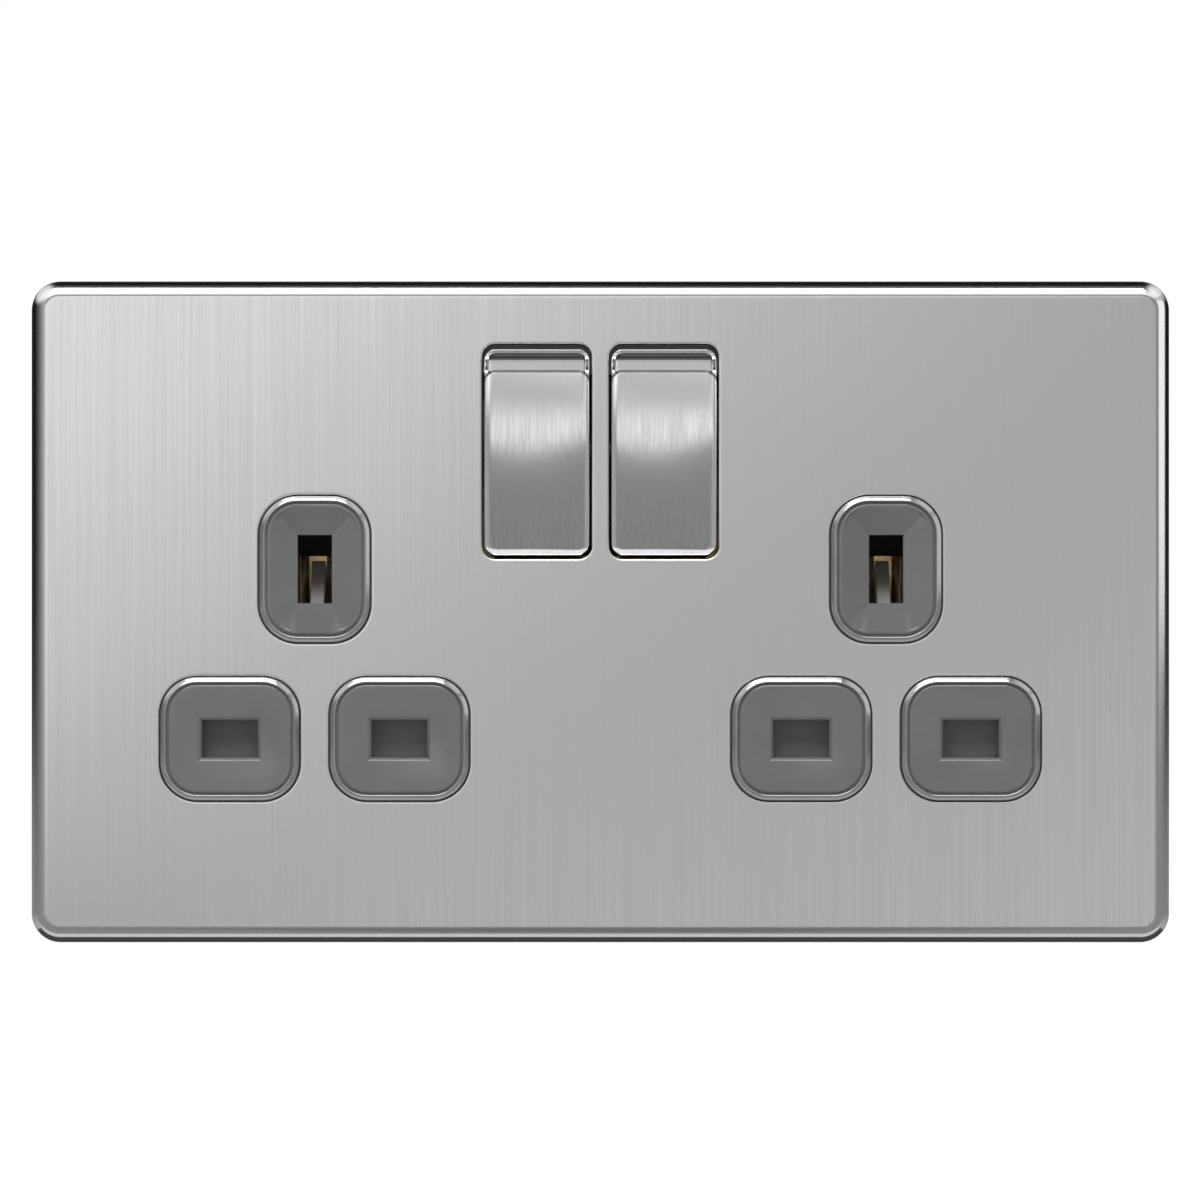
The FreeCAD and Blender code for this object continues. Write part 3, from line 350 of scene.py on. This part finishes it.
def skin(name, points, faces, sharp=35.0, merge=1e-7, shade=None):
    """Mesh object from points in millimetres, doubles merged, shaded round below an angle."""
    mesh = bpy.data.meshes.new(name)
    mesh.from_pydata((np.asarray(points) * MM).tolist(), [], [list(f) for f in faces])
    if shade is not None:
        mesh.attributes.new("shade", "FLOAT", "POINT").data.foreach_set("value", shade)
    bm = bmesh.new()
    bm.from_mesh(mesh)
    bmesh.ops.remove_doubles(bm, verts=bm.verts, dist=merge)
    bm.to_mesh(mesh)
    bm.free()
    mesh.polygons.foreach_set("use_smooth", np.ones(len(mesh.polygons), dtype=bool))
    mesh.set_sharp_from_angle(angle=math.radians(sharp))
    obj = bpy.data.objects.new(name, mesh)
    bpy.context.collection.objects.link(obj)
    return obj


# --- Front plate: flat brushed face, rolled rim, eight rolled openings ---
def boss_list():
    """Middle, size, corner and slot of each boss, and whether it is the dished one."""
    places = []
    for x in outlet_xs:
        places += [((x + side * pin_side, pin_z), *flat_boss) for side in (-1, 1)]
        places.append(((x, earth_z), *long_boss))
    return places


def opening_list():
    """Outline of each opening in the plate: a gap outside its boss, or its rocker's own."""
    found = [(middle, w + 2 * boss_gap, h + 2 * boss_gap, r + boss_gap)
             for middle, w, h, r, *_ in boss_list()]
    return found + [((x, rocker_mid_z), *rocker_opening) for x in rocker_xs]


def plate_piece():
    """Profile carried round the rim and round each opening, with two flat faces between.

    Rim profile: quarter circle of the bend's radius, straight side, the sheet's edge,
    the inside, with a notch in the foot. Opening profile: quarter circle of the roll, then
    the sheet's edge.
    """
    cuts = (-notch_half - 0.01, -notch_half, notch_half, notch_half + 0.01)
    side_y = plate_front + bend
    profile = [(bend + 0.3, plate_under), (bend, plate_under), (sheet, side_y),
               (sheet, plate_back), (0.12, plate_back), (0.0, plate_back - 0.12), (0.0, side_y)]
    turn = np.linspace(0, np.pi / 2, 15)[1:-1]
    profile += [(bend * (1 - math.cos(a)), plate_front + bend * (1 - math.sin(a))) for a in turn]
    profile += [(bend, plate_front), (bend + 0.2, plate_front)]
    rings = []
    for inset, depth in profile:
        outline = rounded_outline(plate_w - 2 * inset, plate_h - 2 * inset,
                                  max(plate_r - inset, 0.3), steps=7, low_cuts=cuts)
        low = (outline[:, 1] < 0) & (np.abs(outline[:, 0]) < notch_half + 0.005)
        rings.append(level_ring(outline, np.where(low, np.minimum(depth, notch_edge), depth)))
    around = len(rings[0])
    points = [np.concatenate(rings)]
    faces = [ring_faces(len(rings), around)]
    flat_front, flat_back = [rings[-1]], [rings[0]]
    total = len(points[0])
    for middle, w, h, r in opening_list():
        profile = [(roll + 0.2, plate_front)]
        angle = np.linspace(0, np.pi / 2, 9)
        profile += [(roll * (1 - math.sin(a)), plate_front + roll * (1 - math.cos(a)))
                    for a in angle]
        profile += [(0.0, plate_under - 0.08), (0.08, plate_under), (0.35, plate_under)]
        loop = [level_ring(rounded_outline(w + 2 * grow, h + 2 * grow, r + grow, middle,
                                           steps=7), depth) for grow, depth in profile]
        points.append(np.concatenate(loop))
        faces.append(ring_faces(len(loop), len(loop[0]), start=total))
        total += len(points[-1])
        flat_front.append(loop[0])
        flat_back.append(loop[-1])
    for loops, facing in ((flat_front, -1), (flat_back, 1)):
        fill = tessellate_polygon([[Vector((p[0], p[2], 0)) for p in loop] for loop in loops])
        flat = np.concatenate(loops)
        tri = np.array(fill)
        a, b, c = (flat[tri[:, k]] for k in range(3))
        up = np.cross(b - a, c - a)[:, 1]
        tri[up * facing < 0] = tri[up * facing < 0][:, ::-1]
        tri = tri[np.abs(up) > 1e-9]
        points.append(flat)
        faces.append(tri + total)
        total += len(flat)
    obj = skin("plate.pressed", np.concatenate(points),
               [face for group in faces for face in group.tolist()], sharp=50.0, merge=2e-7)
    return place(obj, "front_plate")


# --- Bosses: bead round the rim, sunk face, lead-in and slot ---
gloss = gloss_rim()


def boss_piece(index, middle, w, h, r, slot_w, slot_h, dished):
    """Profile of a boss carried round it: wall, groove, face, then the slot's wall, closed.

    The rim is a piece of its own on the wall. A dished face falls to the slot as four
    planes: depth is the least of the shares across and along.
    """
    face_w, face_h, face_r = w - 2 * rim_width, h - 2 * rim_width, r - rim_width
    reach = np.array([face_w / 2 - slot_w / 2, face_h / 2 - slot_h / 2])
    hip = 0.5
    if dished:
        centre = np.array([face_w / 2 - face_r, face_h / 2 - face_r])
        start = np.array([slot_w / 2, slot_h / 2])
        away = reach / np.linalg.norm(reach)
        gap = start - centre
        along = -gap @ away + math.sqrt((gap @ away) ** 2 - gap @ gap + face_r ** 2)
        touch = start + along * away - centre
        hip = math.atan2(touch[1], touch[0]) / (math.pi / 2)

    def outline(width, height, radius):
        return rounded_outline(width, height, radius, middle, steps=7, hip=hip)

    turn = np.linspace(0, 1, 6)
    bead = [(0.0, -4.4), (0.0, -5.38), (0.02, -5.44), (0.06, -5.49), (0.11, -5.52)]
    bead += [(0.15 + 0.32 * t, -5.54 - 0.19 * t - 0.02 * math.sin(math.pi * t)) for t in turn]
    bead += [(0.53, -5.765), (0.60, -5.775), (0.66, -5.755), (0.70, -5.69), (0.72, -5.60),
             (0.73, -5.40), (0.73, -5.1), (0.3, -4.4)]
    rings = [level_ring(outline(w - 2 * inset, h - 2 * inset, r - inset), depth)
             for inset, depth in bead]
    rim = skin("boss_rim.%d" % index, np.concatenate(rings),
               ring_faces(len(rings), len(rings[0]), closed=True).tolist(), sharp=40.0)
    rim.data.materials.append(gloss)
    profile = [(0.03, boss_root), (0.03, -4.9), (0.5, -5.0), (0.75, -5.25), (0.98, -5.25),
               (1.0, -5.42), (1.04, -5.49), (1.12, -5.535), (1.24, -5.548), (rim_width, face_y)]
    rings = [level_ring(outline(w - 2 * inset, h - 2 * inset, r - inset), depth)
             for inset, depth in profile]

    def dish(points):
        """Depth under four planes that fall from the face's sides to the slot's."""
        away = np.abs(points - np.array(middle))
        share = np.minimum((face_w / 2 - away[:, 0]) / reach[0],
                           (face_h / 2 - away[:, 1]) / reach[1])
        return face_y + dish_fall * np.clip(share, 0, 1)

    inner = outline(face_w - 0.3, face_h - 0.3, face_r - 0.15)
    if dished:
        rings.append(level_ring(inner, dish(inner)))
        slot = outline(slot_w + 0.12, slot_h + 0.12, 0)
        rings.append(level_ring(slot, dish(slot)))
        slot = outline(slot_w, slot_h, 0)
        rings.append(level_ring(slot, -4.86))
    else:
        rings.append(level_ring(inner, face_y))
        for wider, depth in ((0.9, face_y), (0.8, -5.53), (0.06, -5.17), (0.0, -5.1)):
            rings.append(level_ring(outline(slot_w + wider, slot_h + wider, 0), depth))
    rings.append(level_ring(outline(slot_w, slot_h, 0), boss_root))
    faces = ring_faces(len(rings), len(rings[0]), closed=True)
    obj = skin("boss.%d" % index, np.concatenate(rings), faces.tolist(),
               sharp=9.5 if dished else 30.0)
    obj.data.materials.append(finish["grey_plastic"])
    for piece in (obj, rim):
        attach(piece, "module")
        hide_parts("front_moulding")


def moulding_body():
    """Front moulding's own mesh, cut off in front of the flange and closed there."""
    obj = smooth_copy("front_moulding", 30.0)
    bm = bmesh.new()
    bm.from_mesh(obj.data)
    bmesh.ops.bisect_plane(bm, geom=bm.verts[:] + bm.edges[:] + bm.faces[:], dist=1e-8,
                           plane_co=(0, flange_cut * MM, 0), plane_no=(0, -1, 0), clear_outer=True)
    rim = [e for e in bm.edges if e.is_boundary]
    bmesh.ops.triangle_fill(bm, use_beauty=True, edges=rim)
    bm.to_mesh(obj.data)
    bm.free()


# --- Rocker caps: crowned pad, grip cove with its rim, bevelled foot, skirts ---
def rounded_reach(x, z, half_x, half_z, radius):
    """Distance inside a rounded rectangle: radius less the distance past its inner corner."""
    qx, qz = np.abs(x) - (half_x - radius), np.abs(z) - (half_z - radius)
    outside = np.hypot(np.maximum(qx, 0), np.maximum(qz, 0))
    return radius - outside - np.minimum(np.maximum(qx, qz), 0)


def soft_step(value, low, high):
    t = np.clip((value - low) / (high - low), 0, 1)
    return t * t * (3 - 2 * t)


def roll_off(inside, radius):
    """Fall of a rounded edge: quarter circle from the edge to its radius inside it."""
    t = np.clip(1 - inside / radius, 0, 1)
    return radius * (1 - np.sqrt(1 - t * t))


cap_half, cap_end, cap_corner, swing = 6.85, 13.8, 2.6, 14.95
cap_top, cap_foot = 13.85, 13.0
crown_reach, crown_fall = 8.28, 300
pad_top, pad_corner = 11.0, 1.8
cove_reach, cove_bend_z = 5.3, 12.45
cove_rim_reach, cove_rim_width = 5.6, 0.42
cap_sheet = 0.5
body_step_z, body_step_reach = 9.9, 4.72
skirt_depths = [3.0, 4.0, 5.5, 6.6, 7.0, 7.2]
skirt_lows = [13.72, 13.66, 13.5, 13.22, 13.1, 13.0]


def half_width(z, end=cap_end, corner=cap_corner):
    """Half the cap's width at a height: full, less the corner's quarter circle."""
    past_corner = np.clip(np.abs(z) - (end - corner), 0, corner)
    return cap_half - corner + np.sqrt(corner ** 2 - past_corner ** 2)


def front_half_width(z):
    """Half the width of the cap's front, whose corners are tighter than the skirts'."""
    return np.where(z > 0, half_width(z, 13.9, 1.5), half_width(z, 13.05, 1.8))


def cap_depth(x, z):
    """Reach of the cap in front of its pivot.

    Pad: crown_reach less z squared over crown_fall, with a slight twist near its middle, its
    sides and upper edge rounded and its foot bevelled. Above it a cove, a slope below
    z = cove_bend_z and a parabola above, lies inside a rim that rises along the sides to
    meet the pad.
    """
    twist = 0.0133 * ((x + 1.5) / 7) ** 2 * 4 * np.tanh(z / 4)
    crown = crown_reach - z ** 2 / crown_fall + twist
    sides = rounded_reach(x, z + 20, cap_half, cap_end + 20, cap_corner)
    pad = pad_reach(x, z)
    pad_level = crown - 0.11 * np.clip(1 - sides / 1.25, 0, 1) ** 3 - roll_off(sides, 0.12)
    pad_level = pad_level - roll_off(pad, 0.12)
    foot = 7.25 + 0.6 * rounded_reach(x, z - 6.0, cap_half + 2.0, cap_foot + 6.0, 3.8)
    pad_level = -np.logaddexp(-pad_level * 24, -foot * 24) / 24
    cove = (cove_reach + 0.35 * np.maximum(z - cove_bend_z, 0) ** 2
            + 0.062 * np.maximum(cove_bend_z - z, 0))
    rim = cove_rim_reach + 2.1 * soft_step(13.2 - z, 0.2, 2.3)
    ledge = rim + (cove - rim) * soft_step(inside_cove(x, z), 0.0, 0.3)
    ledge = ledge - roll_off(rounded_reach(x, z, cap_half, cap_top + 0.08, 1.5), 0.15)
    return ledge + (pad_level - ledge) * soft_step(pad, -0.06, 0.04)


def pad_reach(x, z):
    """Distance inside the pad's upper edge."""
    return rounded_reach(x, z + 6.0, cap_half + 0.3, pad_top + 6.0, pad_corner)


def inside_cove(x, z):
    """Distance inside the rim round the cove."""
    return rounded_reach(x, z - 6.0, cap_half - cove_rim_width, 7.43, 1.1)


def cap_piece(side):
    """Front as a grid over width and height, and skirts that follow the swing circle.

    Its rows are closest at the foot, across the pad's upper edge and in the cove, and its
    columns are closest at the sides. The skirts' back edge slopes with the height.
    """
    v = np.concatenate([np.linspace(-cap_foot, -11.2, 26), np.linspace(-11.2, 10.3, 40)[1:-1],
                        np.linspace(10.3, 11.3, 41), np.linspace(11.3, 13.0, 24)[1:-1],
                        np.linspace(13.0, cap_top, 20)])
    u = np.concatenate([np.linspace(-1, -0.7, 34), np.linspace(-0.7, 0.7, 25)[1:-1],
                        np.linspace(0.7, 1, 34)])
    z, share = np.meshgrid(v, u, indexing="ij")
    x = share * front_half_width(z)
    grid = np.stack([x, -cap_depth(x, z), z], -1)
    rows, cols = len(v), len(u)
    i, j = np.meshgrid(np.arange(rows - 1), np.arange(cols - 1), indexing="ij")
    a = i * cols + j
    faces = [np.stack([a, a + 1, a + cols + 1, a + cols], -1).reshape(-1, 4)]
    index = np.arange(rows * cols).reshape(rows, cols)
    edge = np.concatenate([index[0, :-1], index[:-1, -1], index[-1, :0:-1], index[:0:-1, 0]])
    rim = grid.reshape(-1, 3)[edge]
    at_end = (np.abs(rim[:, 2] - cap_top) < 1e-6) | (np.abs(rim[:, 2] + cap_foot) < 1e-6)
    at_side = np.abs(np.abs(rim[:, 0]) - front_half_width(rim[:, 2])) < 1e-6
    wall = []
    levels = 8
    for t in np.linspace(0, 1, levels + 1)[1:]:
        back = 3.95 + 1.05 * rim[:, 2] / 15.95
        depth = -rim[:, 1] + (back + rim[:, 1]) * t
        upper = np.minimum(np.sqrt(swing ** 2 - np.minimum(depth, 5.6) ** 2), 13.88) / cap_top
        lower = np.interp(depth, skirt_depths, skirt_lows) / cap_foot
        tall = rim[:, 2] * np.where(rim[:, 2] > 0, upper, lower)
        blend = np.where(at_side & ~at_end, np.minimum(1, t * 3), t)
        wide = front_half_width(rim[:, 2]) * (1 - blend) + blend * np.where(
            tall > 0, half_width(tall, 13.93, 1.5), half_width(tall))
        x_wall = rim[:, 0] / front_half_width(rim[:, 2]) * wide
        wall.append(np.stack([x_wall, -depth, tall], 1))
    points = np.concatenate([grid.reshape(-1, 3)] + wall)
    around = len(edge)
    walls = rows * cols + np.arange(levels * around).reshape(levels, around)
    ring_index = np.concatenate([edge[None], walls])
    here, ahead = ring_index[:-1], ring_index[1:]
    faces.append(np.stack([here, ahead, np.roll(ahead, -1, 1), np.roll(here, -1, 1)],
                          -1).reshape(-1, 4))
    across, up = points[:, 0], points[:, 2]
    # Painted shade in the cap's colour: a dark line along the pad's upper edge, a darkened upper
    # cove and a dimmed top rim; the skirts get none.
    painted_crease_shade = soft_step(np.abs(pad_reach(across, up) + 0.02), 0.08, 0.17)
    painted_cove_shade = soft_step(up, 12.1, 12.9) * soft_step(inside_cove(across, up), -0.02, 0.05)
    painted_rim_shade = soft_step(up, 13.38, 13.48)
    shade = painted_crease_shade * (1 - 0.88 * painted_cove_shade) * (1 - 0.62 * painted_rim_shade)
    shade[rows * cols:] = 1.0
    obj = skin("cap.%s" % side, on_rocker(points, side), np.concatenate(faces).tolist(),
               sharp=55.0, shade=0.06 + 0.94 * shade)
    shell = obj.modifiers.new("sheet", "SOLIDIFY")
    shell.thickness = cap_sheet * MM
    shell.offset = -1
    return place(obj, "rocker_cap_" + side)


def on_rocker(points, side):
    """Points about a rocker's pivot, tilted five degrees and moved to their place."""
    x = points[:, 0] + rocker_xs[0 if side == "left" else 1]
    y = points[:, 1] * math.cos(tilt) - points[:, 2] * math.sin(tilt) + pivot_y
    z = points[:, 1] * math.sin(tilt) + points[:, 2] * math.cos(tilt) + rocker_mid_z
    return np.stack([x, y, z], 1)


def body_piece(side):
    """Rocker body's own mesh, drawn back under the cove of the cap."""
    obj = smooth_copy("rocker_body_" + side, 33.0)
    place_now = np.empty(len(obj.data.vertices) * 3)
    obj.data.vertices.foreach_get("co", place_now)
    points = place_now.reshape(-1, 3) / MM
    y, z = points[:, 1] - pivot_y, points[:, 2] - rocker_mid_z
    along = z * math.cos(tilt) - y * math.sin(tilt)
    deep = -(y * math.cos(tilt) + z * math.sin(tilt))
    deep = np.where(along > body_step_z, np.minimum(deep, body_step_reach), deep)
    points[:, 1] = -deep * math.cos(tilt) - along * math.sin(tilt) + pivot_y
    points[:, 2] = -deep * math.sin(tilt) + along * math.cos(tilt) + rocker_mid_z
    obj.data.vertices.foreach_set("co", (points * MM).ravel())
    obj.data.update()


# --- Springs of round wire ---
wire = 0.2


def wire_coil(radius, length, turns):
    """Helix with flat end turns; a circle of wire is carried along it.

    Height is a soft step along the share of the length, so the ends lie flat.
    """
    steps = turns * 28
    share = np.linspace(0, 1, steps + 1)
    angle = 2 * np.pi * turns * share
    lift = np.clip((share - 0.5 / turns) / (1 - 1 / turns), 0, 1)
    height = wire + (length - 2 * wire) * lift
    middle = np.stack([radius * np.cos(angle), radius * np.sin(angle), height], 1)
    run = np.gradient(middle, axis=0)
    run /= np.linalg.norm(run, axis=1, keepdims=True)
    out = np.stack([np.cos(angle), np.sin(angle), np.zeros_like(angle)], 1)
    up = np.cross(run, out)
    turn = np.linspace(0, 2 * np.pi, 11)[:-1]
    rings = (middle[:, None] + wire * (np.cos(turn)[None, :, None] * out[:, None]
                                       + np.sin(turn)[None, :, None] * up[:, None]))
    around = len(turn)
    faces = ring_faces(steps + 1, around)[:, ::-1].tolist()
    faces.append(list(range(around)))
    faces.append(list(range(steps * around, (steps + 1) * around))[::-1])
    return rings.reshape(-1, 3), faces


def shutter_coil(side):
    """Spring that stands under the shutter, drawn at its full length; nothing here shortens it as
    the shutter slides down.
    """
    length, pressed = 11.0, 5.6
    foot = (outlet_xs[0 if side == "left" else 1], 4.6, -12.6)
    points, faces = wire_coil(1.4, length, 7)
    obj = skin("shutter_coil.%s" % side, points + np.array(foot), faces)
    place(obj, "shutter_spring_" + side)
    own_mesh(obj)


def plunger_coil(side):
    """Spring behind the plunger, laid along the depth of its rocker from its seat."""
    seat = 5.2
    points, faces = wire_coil(1.25, 6.2, 6)
    local = np.stack([points[:, 0], points[:, 2] - seat, -points[:, 1]], 1)
    obj = skin("plunger_coil.%s" % side, on_rocker(local, side), faces)
    place(obj, "plunger_spring_" + side)


plate_piece()
moulding_body()
for index, boss_place in enumerate(boss_list()):
    boss_piece(index, *boss_place)
for side in ("left", "right"):
    cap_piece(side)
    body_piece(side)
    shutter_coil(side)
    plunger_coil(side)
own = ("front_plate", "front_moulding", "rocker_", "shutter_spring", "plunger_spring")
for node in frame["nodes"]:
    if not node.startswith(own):
        smooth_copy(node, 33.0, 0.12)


# --- Stage: pale floor, white surroundings, one soft key lamp, cards seen by shine alone ---
def card(name, corners, strength):
    """Flat glowing card between four corners, seen only in reflections."""
    mesh = bpy.data.meshes.new(name)
    mesh.from_pydata([tuple(corner) for corner in corners], [], [(0, 1, 2, 3)])
    obj = bpy.data.objects.new(name, mesh)
    bpy.context.collection.objects.link(obj)
    material = bpy.data.materials.new(name)
    material.use_nodes = True
    tree = material.node_tree
    tree.nodes.remove(tree.nodes["Principled BSDF"])
    glow = tree.nodes.new("ShaderNodeEmission")
    glow.inputs["Color"].default_value = (1, 1, 1, 1)
    glow.inputs["Strength"].default_value = strength
    tree.links.new(glow.outputs["Emission"], tree.nodes["Material Output"].inputs["Surface"])
    mesh.materials.append(material)
    obj.visible_camera = False
    obj.visible_diffuse = False
    obj.visible_shadow = False
    obj.visible_transmission = False
    return obj


def upright_card(name, x0, x1, y, z0, z1, strength):
    return card(name, [(x0, y, z0), (x1, y, z0), (x1, y, z1), (x0, y, z1)], strength)


def level_card(name, x0, x1, y0, y1, strength, above=0.001):
    """Card that lies just above the floor."""
    z = floor_z + above
    return card(name, [(x0, y0, z), (x1, y0, z), (x1, y1, z), (x0, y1, z)], strength)


def facing_card(name, centre, width, height, strength):
    """Card about a centre that faces the object."""
    centre = np.array(centre)
    toward = -centre / np.linalg.norm(centre)
    across = np.cross(toward, (0, 0, 1))
    across /= np.linalg.norm(across)
    up = np.cross(across, toward)
    corners = [centre + sx * across * width / 2 + sz * up * height / 2
               for sx, sz in ((-1, -1), (1, -1), (1, 1), (-1, 1))]
    return card(name, [tuple(float(v) for v in corner) for corner in corners], strength)


floor_z, floor_half, floor_glow = -0.2, 4, 0.66
floor_mesh = bpy.data.meshes.new("floor")
floor_mesh.from_pydata([(sx * floor_half, sy * floor_half, floor_z)
                        for sx, sy in ((-1, -1), (1, -1), (1, 1), (-1, 1))], [], [(0, 1, 2, 3)])
floor = bpy.data.objects.new("floor", floor_mesh)
bpy.context.collection.objects.link(floor)
pale = bpy.data.materials.new("pale_floor")
pale.use_nodes = True
tree = pale.node_tree
plain = tree.nodes["Principled BSDF"]
plain.inputs["Base Color"].default_value = (0.86, 0.86, 0.86, 1)
plain.inputs["Roughness"].default_value = 0.9
plain.inputs["Emission Color"].default_value = (1, 1, 1, 1)
path = tree.nodes.new("ShaderNodeLightPath")
tree.links.new(calc(tree, "MULTIPLY", path.outputs["Is Camera Ray"], floor_glow),
               plain.inputs["Emission Strength"])
floor_mesh.materials.append(pale)


def world_shine(tree):
    """Level that shiny surfaces see, by direction.

    In front it rises towards the upper left and a little towards the lower right, and dips
    low down; it falls off to the sides, above, below and behind, but less so to the corners.
    """
    ahead = tree.nodes.new("ShaderNodeTexCoord")
    split = tree.nodes.new("ShaderNodeSeparateXYZ")
    tree.links.new(ahead.outputs["Generated"], split.inputs["Vector"])
    dx, dy, dz = (split.outputs[axis] for axis in "XYZ")
    front = calc(tree, "MAXIMUM", calc(tree, "MULTIPLY", dy, -1.0), 0.1)
    across = calc(tree, "DIVIDE", dx, front)
    up = calc(tree, "DIVIDE", dz, front)
    soft = "SMOOTHSTEP"
    corner = calc(tree, "SUBTRACT", calc(tree, "MULTIPLY", up, 1.4), across)
    rise = ramp(tree, corner, 0.015, 0.13, 0.0, 0.99, soft)
    low = ramp(tree, corner, -0.15, -0.04, 0.38, 0.0, soft)
    base = ramp(tree, up, -0.06, -0.005, 0.37, 0.465, soft)
    level = calc(tree, "ADD", calc(tree, "ADD", rise, low), base)
    wide = calc(tree, "ABSOLUTE", dx, 0.0)
    tall = calc(tree, "ABSOLUTE", dz, 0.0)
    near_side = calc(tree, "ADD", ramp(tree, wide, 0.10, 0.40, 0.0, 0.55, soft),
                     ramp(tree, wide, 0.40, 1.0, 0.0, 0.42))
    side_fall = calc(tree, "MULTIPLY", near_side, ramp(tree, tall, 0.22, 0.5, 1.0, 0.0, soft))
    tall_fall = calc(tree, "MULTIPLY", ramp(tree, tall, 0.40, 0.9, 0.0, 0.94, soft),
                     ramp(tree, wide, 0.22, 0.5, 1.0, 0.0, soft))
    least = calc(tree, "MINIMUM", wide, tall)
    behind = calc(tree, "MULTIPLY", ramp(tree, dy, -0.15, 0.15, 0.0, 0.95, soft),
                  ramp(tree, least, 0.2, 0.45, 1.0, 0.25, soft))
    for fall in (side_fall, tall_fall, behind):
        level = calc(tree, "MULTIPLY", level, calc(tree, "SUBTRACT", 1.0, fall))
    return level


diffuse_fill = 0.42
world = bpy.data.worlds.new("studio")
bpy.context.scene.world = world
world.use_nodes = True
tree = world.node_tree
path = tree.nodes.new("ShaderNodeLightPath")
seen = calc(tree, "MAXIMUM", path.outputs["Is Camera Ray"], path.outputs["Is Transmission Ray"])
shine = calc(tree, "MULTIPLY", path.outputs["Is Glossy Ray"], world_shine(tree))
fill = calc(tree, "MULTIPLY", path.outputs["Is Diffuse Ray"], diffuse_fill)
level = calc(tree, "MAXIMUM", calc(tree, "MAXIMUM", seen, shine), fill)
tree.nodes["Background"].inputs["Color"].default_value = (1, 1, 1, 1)
tree.links.new(level, tree.nodes["Background"].inputs["Strength"])

key = bpy.data.lights.new("key", "AREA")
key.shape = "RECTANGLE"
key.size = 0.55
key.size_y = 0.46
key.energy = 4.0
key_lamp = bpy.data.objects.new("key", key)
bpy.context.collection.objects.link(key_lamp)
key_place = Vector((-0.08, -0.45, 0.55))
key_lamp.location = key_place
key_lamp.rotation_euler = (-key_place).to_track_quat("-Z", "Y").to_euler()

facing_card("key_glow", (-0.07, -0.424, 0.512), 0.46, 0.13, 12.0)
upright_card("flag_high", -0.34, 0.34, -0.6, 0.145, 0.25, 0.28)
level_card("far_light", -0.18, 0.5, -3.4, -1.53, 0.98, 0.002)
level_card("near_light", -1.2, 1.2, -3.0, -0.12, 0.38)
flag_z = floor_z + 0.003
card("rocker_flag", [(-0.28, -1.53, flag_z), (0.28, -1.53, flag_z), (0.035, -0.18, flag_z),
                     (-0.035, -0.18, flag_z)], 0.24)
level_card("low_light", -0.3, 0.3, -0.12, -0.03, 0.95, 0.002)
level_card("under_flag", -0.3, 0.3, -0.03, 0.4, 0.08)
facing_card("right_strip", (0.457, -0.203, 0.11), 0.44, 0.24, 1.45)
